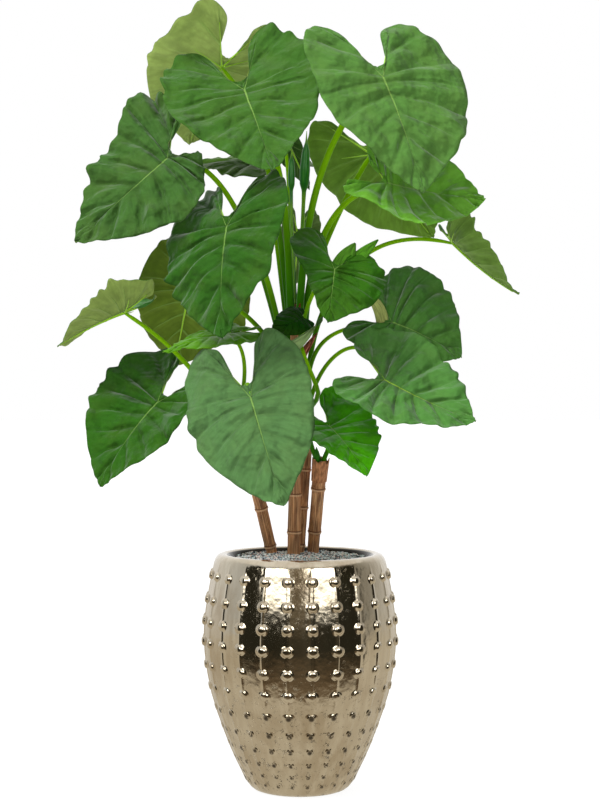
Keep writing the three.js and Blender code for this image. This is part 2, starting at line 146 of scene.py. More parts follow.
class Finish(Nodes):
    """A material: one Principled shader, and the nodes that feed it."""

    def __init__(self, name, **constants):
        self.material = bpy.data.materials.new(name)
        self.material.use_nodes = True
        super().__init__(self.material.node_tree)
        self.shader = self.tree.nodes["Principled BSDF"]
        for socket, value in constants.items():
            self.shader.inputs[socket.replace("_", " ")].default_value = value

    def feed(self, socket, value):
        self.tree.links.new(value.socket, self.shader.inputs[socket])

    def place(self):
        """Object coordinates in metres."""
        return self.node("ShaderNodeTexCoord", output=3)

    def own_map(self):
        """The piece's own map, as two shares from 0 to 1."""
        return self.axes(self.node("ShaderNodeUVMap"))[:2]

    def own_value(self, name):
        """The number of that name which the piece's mesh carries."""
        return self.node("ShaderNodeAttribute", {"attribute_name": name}, None, 2)

    def drawn_out(self, x, y, z=0.0):
        """Coordinates for a pattern that is stretched along one of them."""
        return self.node("ShaderNodeCombineXYZ", None, {0: x, 1: y, 2: z})

    def noise(self, scale, detail=3.0, vector=None, roughness=0.55):
        inputs = {"Vector": vector or self.place(), "Scale": scale, "Detail": detail,
                  "Roughness": roughness}
        return self.node("ShaderNodeTexNoise", None, inputs)

    def bump(self, height, distance, below=None):
        """The normal of a surface raised by height times distance, in metres."""
        inputs = {"Height": height, "Distance": distance}
        if below:
            inputs["Normal"] = below
        return self.node("ShaderNodeBump", None, inputs)


def room_light():
    """The room lights the scene and shows in the glaze. The camera sees plain white instead."""
    world = bpy.data.worlds.new("room")
    bpy.context.scene.world = world
    world.use_nodes = True
    room = Nodes(world.node_tree)
    x, y, z = room.axes(room.node("ShaderNodeTexCoord"))
    bearing = x.math("ARCTAN2", y * -1) * math.degrees(1)
    climb = z.math("ARCSINE") * math.degrees(1)
    off_middle = bearing - DARK_BEARING
    rounded = climb - off_middle * off_middle * DARK_ROUND
    foot = rounded.within(DARK_DROP - FOOT_EDGE, DARK_DROP + FOOT_EDGE)
    head = 1 - climb.within(DARK_CLIMB - HEAD_EDGE, DARK_CLIMB + HEAD_EDGE)
    dark = bearing.near(DARK_BEARING, DARK_WIDTH, SIDE_EDGE) * foot * head
    rows = climb.within(*WINDOW_FOOT) * (1 - climb.within(*WINDOW_HEAD))
    window = sum(bearing.near(middle, width, WINDOW_EDGE) for middle, width in WINDOWS) * rows
    pillar = bearing.near(PILLAR_BEARING, PILLAR_WIDTH, PILLAR_EDGE) * climb.within(*PILLAR_CLIMB)
    glow = off_middle.near(0, GLOW_WIDTH, GLOW_EDGE) * GLOW_SHARE
    beside = room.mix(bearing.within(*SIDE_TURN), LEFT_LIGHT, RIGHT_LIGHT)
    wall = room.mix(off_middle.math("ABSOLUTE").within(*WALL_TURN), beside, WALL_LIGHT)
    wall = room.mix(climb.within(*CEILING_TURN), wall, WALL_LIGHT)
    pale = room.mix(climb.within(*FLOOR_TURN), FLOOR_LIGHT, wall)
    shade = room.mix(climb.within(*DARK_TURN), DARK_FOOT, DARK_TOP)
    shade = room.mix(pillar, room.mix(glow, shade, PILLAR), PILLAR)
    light = room.mix(window, room.mix(dark, pale, shade), WINDOW_LIGHT)
    lit = room.node("ShaderNodeBackground", None, {"Color": light})
    dim = room.node("ShaderNodeBackground", None, {"Color": light, "Strength": ROOM_SHARE})
    plain = room.node("ShaderNodeBackground", None, {"Color": (*BACKDROP, 1.0)})
    seen = room.node("ShaderNodeLightPath")  # 1 for rays from the camera
    mirrored = room.node("ShaderNodeLightPath", output=3)  # 1 for rays off a gloss
    both = room.node("ShaderNodeMixShader", None, {0: mirrored, 1: dim, 2: lit})
    both = room.node("ShaderNodeMixShader", None, {0: seen, 1: both, 2: plain})
    world.node_tree.links.new(both.socket, world.node_tree.nodes["World Output"].inputs["Surface"])


bpy.ops.object.select_all(action="DESELECT")
bpy.ops.object.camera_add(location=CAMERA_PLACE)
camera = bpy.context.object
camera.rotation_euler = (CAMERA_AIM - CAMERA_PLACE).to_track_quat("-Z", "Y").to_euler()
camera.data.lens = CAMERA_LENS
camera.data.sensor_width = 36.0
bpy.context.scene.camera = camera
bpy.context.scene.view_settings.view_transform = "Standard"
room_light()

bpy.ops.object.light_add(type="SUN", location=(0, 0, 4))
soft_light = bpy.context.object
soft_light.rotation_euler = Vector(SOFT_LIGHT["comes_from"]).to_track_quat("Z", "Y").to_euler()
soft_light.data.energy = SOFT_LIGHT["power"]
soft_light.data.angle = math.radians(SOFT_LIGHT["spread"])
soft_light.visible_glossy = False

bpy.ops.mesh.primitive_plane_add(size=FLOOR_SIZE)
floor = bpy.context.object
floor.name = "floor"
floor.visible_glossy = False
floor_paint = Finish("floor_paint", Base_Color=FLOOR_COLOUR, Roughness=0.9,
                     Emission_Color=(1.0, 1.0, 1.0, 1.0), Emission_Strength=FLOOR_GLOW)
floor.data.materials.append(floor_paint.material)

# ---- Planter ------------------------------------------------------------------
# One fired clay vessel: an ovoid barrel with a thick rolled rim, and rows of round studs joined by
# a faint ridge down each column. It is thrown, studded, dipped in a mirror-like bronze glaze and
# fired, which leaves the glaze uneven, with small pits low down.
POT_OUTSIDE = [(0.098, 0.0), (0.106, 0.0015), (0.116, 0.005), (0.125, 0.012), (0.136, 0.028),
               (0.147, 0.053), (0.159, 0.077), (0.174, 0.111), (0.190, 0.152), (0.206, 0.197),
               (0.221, 0.246), (0.231, 0.296), (0.238, 0.349), (0.240, 0.388), (0.239, 0.420),
               (0.235, 0.458), (0.226, 0.513), (0.2185, 0.552), (0.2155, 0.569), (0.2115, 0.580),
               (0.205, 0.588), (0.196, 0.5915)]
POT_INSIDE = [(0.187, 0.5915), (0.179, 0.5875), (0.1745, 0.581), (0.1735, 0.572),
              (0.176, 0.549), (0.182, 0.52), (0.186, 0.50), (0.186, 0.45)]
COLUMNS = 24  # of studs, round the planter
SIDES_PER_COLUMN = 16
CROWDING = 0.85  # how far the wall's vertices crowd towards the ridges
RIDGE_HEIGHT = 0.0019
RIDGE_WIDTH = 0.0034
RIDGE_SPAN = [0.01, 0.03, 0.55, 0.57]  # heights between which ridges begin, are full and end
HOLLOW = 0.00025  # how far the wall sinks between two ridges
STUD_ROWS = [0.031, 0.057, 0.088, 0.124, 0.165, 0.212, 0.265, 0.319, 0.376, 0.428, 0.482, 0.541]
STUD_SIZE = 0.052  # stud radius as a share of the planter's radius there
STUD_FLATNESS = [(0.05, 0.38), (0.20, 0.42), (0.34, 0.95), (0.60, 1.05)]  # height, and rise there
STUD_SIDES = 18
SLOPE_STEP = 0.012  # half the height over which a stud reads the wall's slope
STUD_PROFILE = [(1.5, -0.12), (1.22, 0.02), (1.07, 0.08), (0.97, 0.2), (0.9, 0.34),
                (0.78, 0.48), (0.58, 0.58), (0.32, 0.62)]  # radius and height, in stud radii
GLAZE = (0.60, 0.52, 0.39)
GLAZE_CLOUD = (0.46, 0.37, 0.25)
GLAZE_STREAK = (0.70, 0.62, 0.48)
GLAZE_PIT_AND_DARK_REFLECTION = (0.10, 0.08, 0.055)
GLAZE_INSIDE_SHADE = (0.02, 0.017, 0.012)
DARK_REFLECTION_BELOW = 0.24  # the height up to which the studs' tops carry a painted dark reflection of the room


def glaze_finish():
    """Bronze with clouds, drawn streaks and pits low down, a painted dark reflection on the low studs'
    tops, and painted shade inside.
    """
    glaze = Finish("bronze_glaze", Metallic=1.0, Coat_Roughness=0.05)
    x, y, height = glaze.axes(glaze.place())
    radius = (x * x + y * y).math("SQRT")
    # painted shade: the inside of the rim and the wall below it are painted near black for the shade
    # inside the planter
    inside = (1 - radius.within(0.180, 0.186)) * height.within(0.45, 0.50)
    swell = glaze.noise(26.0, 2.0)
    peel = glaze.noise(140.0, 2.0)
    low = 1 - height.within(0.10, 0.40)
    pits = glaze.noise(60.0, 7.0, roughness=0.85).within(0.57, 0.66) * (low * 0.9 + 0.1)
    cloud = glaze.noise(8.0, 5.0).within(0.35, 0.75)
    streak = glaze.noise(38.0, 4.0, glaze.drawn_out(x, y, height * 0.12)).within(0.42, 0.7)
    tone = glaze.mix(streak * 0.7, glaze.mix(cloud, GLAZE, GLAZE_CLOUD), GLAZE_STREAK)
    # painted reflection: the low studs' tops are painted dark for the dark part of the room mirrored in
    # them; the same dark colour also marks the real pits
    painted_dark_reflection = glaze.own_value("painted_dark_reflection") * glaze.noise(150.0, 2.0).within(0.3, 0.45)
    tone = glaze.mix((pits * 0.8).math("MAXIMUM", painted_dark_reflection), tone, GLAZE_PIT_AND_DARK_REFLECTION)
    tone = glaze.mix(inside, tone, GLAZE_INSIDE_SHADE)
    glaze.feed("Base Color", tone)
    glaze.feed("Coat Weight", (1 - inside) * 0.3)
    glaze.feed("Roughness", peel * 0.08 + cloud * 0.06 + pits * 0.25 + painted_dark_reflection * 0.4 + 0.06)
    lumps = glaze.bump(swell, 0.0014)
    fine = glaze.bump(peel, 0.00018, lumps)
    glaze.feed("Normal", glaze.bump(pits, -0.0005, fine))
    return glaze.material


def worked(operator, **settings):
    """Runs an operator of edit mode on the whole of the active mesh."""
    bpy.ops.object.mode_set(mode="EDIT")
    bpy.ops.mesh.select_all(action="SELECT")
    operator(**settings)
    bpy.ops.object.mode_set(mode="OBJECT")


def drawn_up(name, profile, sides):
    """A round body drawn up ring by ring from its foot, which is closed."""
    (radius, height), *rings = profile
    bpy.ops.object.select_all(action="DESELECT")
    bpy.ops.mesh.primitive_circle_add(vertices=sides, radius=radius, fill_type="NGON",
                                      location=(0, 0, height))
    body = bpy.context.object
    body.name = name
    bpy.ops.object.transform_apply(location=True)
    bpy.ops.object.mode_set(mode="EDIT")
    for next_radius, next_height in rings:
        rise = (0, 0, next_height - height)
        bpy.ops.mesh.extrude_region_move(TRANSFORM_OT_translate={"value": rise})
        share = next_radius / radius
        bpy.ops.transform.resize(value=(share, share, 1), center_override=(0, 0, next_height))
        radius, height = next_radius, next_height
    worked(bpy.ops.mesh.normals_make_consistent, inside=False)
    return body


def points_of(mesh):
    """The places of a mesh's vertices, one a row."""
    flat = np.empty(len(mesh.vertices) * 3)
    mesh.vertices.foreach_get("co", flat)
    return flat.reshape(-1, 3)


def planter_wall():
    """The wall's vertices crowd to the ridges, which stand out between shallow hollows."""
    wall = drawn_up("planter", POT_OUTSIDE + POT_INSIDE, COLUMNS * SIDES_PER_COLUMN)
    points = points_of(wall.data)
    radius = np.hypot(points[:, 0], points[:, 1])
    column = np.arctan2(points[:, 1], points[:, 0]) / math.tau * COLUMNS - 0.5
    share = column - np.floor(column)
    share = share - CROWDING * np.sin(math.tau * share) / math.tau
    turn = (np.floor(column) + share + 0.5) / COLUMNS * math.tau
    off_ridge = np.minimum(share, 1 - share) * math.tau * radius / COLUMNS
    ridge = RIDGE_HEIGHT * np.exp(-((off_ridge / RIDGE_WIDTH) ** 2))
    hollow = HOLLOW * (1 - np.cos(math.tau * share))
    height = points[:, 2]
    outside = np.interp(height, *zip(*[(z, r) for r, z in POT_OUTSIDE]))
    on_wall = np.interp(height, RIDGE_SPAN, [0, 1, 1, 0]) * (radius > outside - 0.01)
    radius = radius + (ridge - hollow) * on_wall
    points[:, 0], points[:, 1] = radius * np.cos(turn), radius * np.sin(turn)
    wall.data.vertices.foreach_set("co", points.ravel())
    return wall


def stud_frame(column, height):
    """Where a stud sits: its place on the wall, and its axes scaled to its size."""
    radii, heights = zip(*POT_OUTSIDE)
    below, radius, above = np.interp([height - SLOPE_STEP, height, height + SLOPE_STEP], heights, radii)
    slope = math.atan2(above - below, 2 * SLOPE_STEP)
    turn = (column + 0.5) / COLUMNS * math.tau
    round_, side = (math.cos(turn), math.sin(turn)), (-math.sin(turn), math.cos(turn), 0.0)
    out = np.array([round_[0] * math.cos(slope), round_[1] * math.cos(slope), -math.sin(slope)])
    rise = np.interp(height, *zip(*STUD_FLATNESS))
    axes = np.array([side, np.cross(out, side), out * rise]) * STUD_SIZE * radius
    return np.array([round_[0] * radius, round_[1] * radius, height]), axes


def repeated(name, shape, frames):
    """One mesh with a copy of shape at each frame, which is an origin and three axes."""
    points = points_of(shape.data)
    faces = [np.array(face.vertices) for face in shape.data.polygons]
    places = [origin + points @ axes for origin, axes in frames]
    mesh = bpy.data.meshes.new(name)
    mesh.from_pydata(np.concatenate(places), [],
                     [face + len(points) * i for i in range(len(places)) for face in faces])
    made = bpy.data.objects.new(name, mesh)
    bpy.context.collection.objects.link(made)
    bpy.data.objects.remove(shape)
    return made


def joined(first, *others):
    """Joins the others into first."""
    bpy.ops.object.select_all(action="DESELECT")
    for piece in (first, *others):
        piece.select_set(True)
    bpy.context.view_layer.objects.active = first
    bpy.ops.object.join()
    return first


stud_frames = [stud_frame(column, height) for height in STUD_ROWS for column in range(COLUMNS)]
stud = drawn_up("stud", STUD_PROFILE, STUD_SIDES)
worked(bpy.ops.mesh.quads_convert_to_tris)
top_share = np.clip(points_of(stud.data)[:, 2] * 20 - 11, 0, 1)  # from 0.55 to 0.6 stud radii up
studs = repeated("studs", stud, stud_frames)
# on the low rows the studs' tops are marked for a painted dark reflection
low = np.repeat([height < DARK_REFLECTION_BELOW for height in STUD_ROWS], COLUMNS)
painted_dark_reflection = studs.data.attributes.new("painted_dark_reflection", "FLOAT", "POINT")
painted_dark_reflection.data.foreach_set("value", np.outer(low, top_share).ravel())
planter = joined(planter_wall(), studs)
bpy.ops.object.shade_smooth_by_angle(angle=math.radians(60))
planter.data.materials.append(glaze_finish())
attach(planter, "root")
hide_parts("pot")

# ---- Soil and gravel ------------------------------------------------------------
# Potting soil fills the planter, and a layer of crushed stone grains, grey, blue-grey and pinkish,
# is strewn over it up to a finger below the rim.
SOIL_DARK, SOIL_LIGHT = (0.020, 0.012, 0.007), (0.075, 0.048, 0.030)
GRAIN_COUNT = 6000
GRAIN_SIZE = (0.0017, 0.0036)
GRAIN_SEED = 7
# the grains stop short of the wall, so that a ring of the dark bed shows round them as painted shade
# under the rim
BED_RADIUS = 0.160
BED_TOP = 0.5825
BED_BUMP = 0.0025
BED_WAVES = (0.011, 0.014)  # how long the bed's humps are, across and in depth
GRAIN_SINK = 0.001
SPECK = (0.05, 0.05, 0.05)
GRAIN_COLOURS = [(0.0, (0.02, 0.02, 0.025)), (0.28, (0.06, 0.07, 0.09)), (0.34, (0.48, 0.60, 0.66)),
                 (0.62, (0.90, 1.0, 1.0)), (0.74, (1.0, 0.66, 0.58)), (0.84, (1.0, 0.82, 0.76)),
                 (0.88, (1.0, 1.0, 1.0))]


def soil_finish():
    """Dark damp crumbs."""
    soil = Finish("potting_soil", Roughness=0.95)
    crumbs = soil.noise(160.0, 6.0)
    soil.feed("Base Color", soil.mix(crumbs.within(0.35, 0.7), SOIL_DARK, SOIL_LIGHT))
    soil.feed("Normal", soil.bump(crumbs, 0.004))
    return soil.material


def stone_finish():
    """The colour ramp reads each grain's own shade, from 0 to 1."""
    stone = Finish("gravel_stone", Roughness=0.8)
    ramp = stone.node("ShaderNodeValToRGB", None, {0: stone.own_value("shade")})
    elements = ramp.socket.node.color_ramp.elements
    while len(elements) < len(GRAIN_COLOURS):
        elements.new(1.0)
    for element, (place, colour) in zip(elements, GRAIN_COLOURS):
        element.position = place
        element.color = (*colour, 1.0)
    speck = stone.noise(900.0, 2.0)
    stone.feed("Base Color", stone.mix(speck.within(0.45, 0.7) * 0.3, ramp, SPECK))
    stone.feed("Normal", stone.bump(speck, 0.0006))
    return stone.material


def gravel_grains():
    """Small stones on the bed, each with its own turn, stretch and shade."""
    draw = np.random.default_rng(GRAIN_SEED)
    bpy.ops.object.select_all(action="DESELECT")
    bpy.ops.mesh.primitive_ico_sphere_add(subdivisions=1, radius=1.0)
    grain = bpy.context.object
    radius = BED_RADIUS * np.sqrt(draw.random(GRAIN_COUNT))
    turn = math.tau * draw.random(GRAIN_COUNT)
    x, y = radius * np.cos(turn), radius * np.sin(turn)
    z = BED_TOP + BED_BUMP * np.sin(x / BED_WAVES[0]) * np.cos(y / BED_WAVES[1])
    z = z - GRAIN_SINK * draw.random(GRAIN_COUNT)
    frames = []
    for place in zip(x, y, z):
        size = draw.uniform(*GRAIN_SIZE)
        turned, _ = np.linalg.qr(draw.normal(size=(3, 3)))
        turned *= np.sign(np.linalg.det(turned))
        frames.append((np.array(place), turned * size * draw.uniform(0.6, 1.15, (3, 1))))
    grains = repeated("gravel_grains", grain, frames)
    shade = grains.data.attributes.new("shade", "FLOAT", "POINT")
    corners = len(grains.data.vertices) // GRAIN_COUNT
    shade.data.foreach_set("value", np.repeat(draw.random(GRAIN_COUNT), corners))
    return grains


for bed in ("soil", "gravel"):  # between the loose grains the gravel bed is dark as soil
    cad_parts[bed].data.materials.clear()
    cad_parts[bed].data.materials.append(soil_finish())
grains = gravel_grains()
grains.data.materials.append(stone_finish())
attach(grains, "root")

# ---- Canes ----------------------------------------------------------------------
# Four woody canes, the plant's old stems. Each has rings where leaves once grew, a slight waist
# under every ring, and a brown fibrous bark with pale streaks.
MM = 0.001
CANES = {  # foot and top of the axis, radius at both, and the spacing of the rings, in millimetres
    "cane_1": dict(foot=(-54, 124, 506), top=(-147, 0, 915), radius=(13, 19), ring=104),
    "cane_2": dict(foot=(-17, 69, 450), top=(-8, 0, 1215), radius=(17, 15), ring=96),
    "cane_3": dict(foot=(-8, 110, 508), top=(22, 56, 930), radius=(14, 15), ring=98),
    "cane_4": dict(foot=(20, 159, 418), top=(52, 40, 822), radius=(13, 18), ring=116),
}
RING_PROFILE = [(-10, -0.6), (-5, 0.2), (-3.5, 1.9), (-0.5, 2.0), (0.5, 0.3), (3, 0.2), (4, 1.0),
                (8, 0)]  # distance along the cane and how far it stands out, round a ring
RING_TINTS = [(-5, 0), (-3.5, 1), (-0.5, 1), (0.5, -1), (3, -1), (4, 0)]  # pale 1, dark -1
RING_PALE = (0.86, 0.56, 0.33)
CANE_SIDES = 28
CANE_STEP = 8
CANE_TOP = [(-8, 0), (-2, -2.5), (0, -5)]  # distance from the top and how far it stands out there
BARK_LUMPS = 0.05
BARK = (0.60, 0.27, 0.11)
BARK_LIGHT = (0.92, 0.55, 0.27)
BARK_DARK = (0.17, 0.07, 0.03)


def sheet(name, columns, rows, place):
    """A grid laid into shape: place turns its vertices' shares across and along into points."""
    bpy.ops.object.select_all(action="DESELECT")
    bpy.ops.mesh.primitive_grid_add(x_subdivisions=columns, y_subdivisions=rows, size=1)
    made = bpy.context.object
    made.name = name
    shares = points_of(made.data) + 0.5
    made.data.vertices.foreach_set("co", place(shares[:, 0], shares[:, 1]).ravel())
    worked(bpy.ops.mesh.remove_doubles, threshold=1e-6)
    return made


def unit(rows):
    """Each row made one long."""
    return rows / np.linalg.norm(rows, axis=1)[:, None]


def tube(name, path, radii, sides, rough=None):
    """A round closed body along a path of points, with a radius at each point, in metres."""
    tangent = unit(np.gradient(path, axis=0))
    across = unit(np.cross((0.0, -1.0, 0.0), tangent))
    out = np.cross(across, tangent)
    path, across, out = (np.concatenate([rows[:1], rows, rows[-1:]]) for rows in (path, across, out))
    radii = np.concatenate([[0], radii, [0]])
    last = len(path) - 1

    def place(round_, along):
        row = np.rint(along * last).astype(int)
        turn = math.tau * round_
        size = radii[row]
        if rough is not None:
            size = size * (1 + rough(turn, path[row, 2]))
        ring = np.cos(turn)[:, None] * across[row] + np.sin(turn)[:, None] * out[row]
        return path[row] + size[:, None] * ring

    made = sheet(name, sides, last, place)
    worked(bpy.ops.mesh.normals_make_consistent, inside=False)
    return made


def bark_finish():
    """The streaks follow the cane's own map: across it round the cane, and along it."""
    bark = Finish("cane_bark", Roughness=0.78)
    around, along = bark.own_map()
    fibre = bark.noise(1.0, 5.0, bark.drawn_out(around * 46, along * 5), 0.65)
    patch = bark.noise(1.0, 3.0, bark.drawn_out(around * 6, along * 12))
    tone = bark.mix(patch.within(0.3, 0.7), BARK_DARK, BARK)
    tone = bark.mix(fibre.within(0.48, 0.66), tone, BARK_LIGHT)
    crack = 1 - fibre.within(0.28, 0.42)
    tone = bark.mix(crack * 0.75, tone, BARK_DARK)
    ring = bark.own_value("ring")
    tone = bark.mix(ring * (fibre + 0.1), tone, RING_PALE)
    bark.feed("Base Color", bark.mix(ring * -0.85, tone, BARK_DARK))
    bark.feed("Normal", bark.bump(fibre, 0.0035))
    return bark.material


def points_in(row, *names):
    """The points of those names in a row of a table."""
    return [np.array(row[name], float) for name in names]


def cane_radius(cane, share):
    """The radius at a share of the way up, without the rings."""
    return cane["radius"][0] + (cane["radius"][1] - cane["radius"][0]) * share


def cane_body(name, cane):
    """The cane with its rings, and on its mesh how pale or dark each ring is."""
    foot, top = points_in(cane, "foot", "top")
    length = np.linalg.norm(top - foot)
    stands_out = {0: 0, **{length + along: extra for along, extra in CANE_TOP}}
    tints = {0: 0, length: 0}
    for at in np.arange(cane["ring"], length - cane["ring"] / 4, cane["ring"]):
        stands_out.update({at + along: extra for along, extra in RING_PROFILE})
        tints.update({at + along: tint for along, tint in RING_TINTS})
    marks = sorted(stands_out)
    distance = np.unique(np.concatenate([marks, np.arange(0, length, CANE_STEP)]))
    extra = np.interp(distance, marks, [stands_out[mark] for mark in marks])
    share = distance / length
    radii = cane_radius(cane, share) + extra
    path = foot + (top - foot) * share[:, None]

    def rough(turn, height):
        at = zip(np.cos(turn) * 1.3, np.sin(turn) * 1.3, height * 14)
        return np.array([BARK_LUMPS * noise.noise(Vector(point)) for point in at])

    body = tube(name + "_bark", path * MM, radii * MM, CANE_SIDES, rough)
    axis = (top - foot) / length
    along = np.clip((points_of(body.data) / MM - foot) @ axis, 0, length)
    tint = body.data.attributes.new("ring", "FLOAT", "POINT")
    tint.data.foreach_set("value", np.interp(along, sorted(tints), [tints[at] for at in sorted(tints)]))
    return body


bark = bark_finish()
for name, cane in CANES.items():
    body = cane_body(name, cane)
    body.data.materials.append(bark)
    bpy.ops.object.shade_smooth()
    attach(body, "root")
    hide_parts(name)

# ---- Leaves ---------------------------------------------------------------------
# Each leaf grew as one piece: a long round stalk, a heart-shaped blade with a waved margin, a
# midrib and basal veins that stand out below, and side veins sunk between puffed panels.
HALF_OUTLINE = [(0, -0.10), (0.09, -0.16), (0.18, -0.47), (0.37, -0.57), (0.54, -0.44),
                (0.64, -0.14), (0.63, 0.18), (0.51, 0.47), (0.31, 0.73), (0.11, 0.92), (0, 1)]
MARGIN_WAVES = 4
SCALLOP = 0.015
LEFT_PHASE = 1.7
SHOULDER = (0.42, 0.62)  # where on the outline a wider lobe begins to narrow, and ends
FLAT = 1e-3
STALK_TAPER = 0.3
STALK_SIDES, RIB_SIDES = 12, 8
STALK_STEPS, RIB_STEPS = 41, 25
PANELS = 10  # between the veins on each half
PANEL_ROWS = 12
BLADE_COLUMNS = 20
BLADE_THICKNESS = 0.0013
BASAL_SHARE = 0.26  # where on the outline the basal vein points
BASAL_REACH = 0.72
BASAL_ROW = 0.2  # the row of side veins that runs on from the tip of the basal vein
LOBE_ROWS = 0.4  # the rows up to this one start on the basal vein, the others on the midrib
CROWDING_START = 1.6  # how much closer the side veins start near the stalk
SHORT_SHARE, SHORT_REACH = 0.46, 0.5  # the same for the shorter vein beside it
RIB_RADIUS, RIB_TAPER = 4.0, 3.1  # in millimetres
RIB_DEPTH, SHORT_DEPTH = 1.6, 4.0  # how far the vein's top lies under the blade, in millimetres
VEIN_BOW = 0.10  # how far a side vein bows back, as a share of its length
PUFF = 0.035  # how far the panels stand up between the veins, as a share of the blade's length
FRILL = 0.032  # how far the margin swells out between two veins, as a share of the blade's size
CREASE = 0.020  # this and the next depths are shares of the blade's length
SWELL, FINE_SWELL = 0.040, 0.010
SUNK_MIDRIB = 0.004
LEAF_SEED = 2.31  # times its number, so that each leaf is uneven in its own way
UNDER = (105, 130, 70)
VEIN = (140, 180, 90)
USUAL = dict(wave=0.02, frill=1.3, crease=1, gloss=0.09, valley_shade=0.3, shoulder=(0, 0), under=UNDER,
             vein=VEIN)  # of a leaf whose row doesn't say otherwise
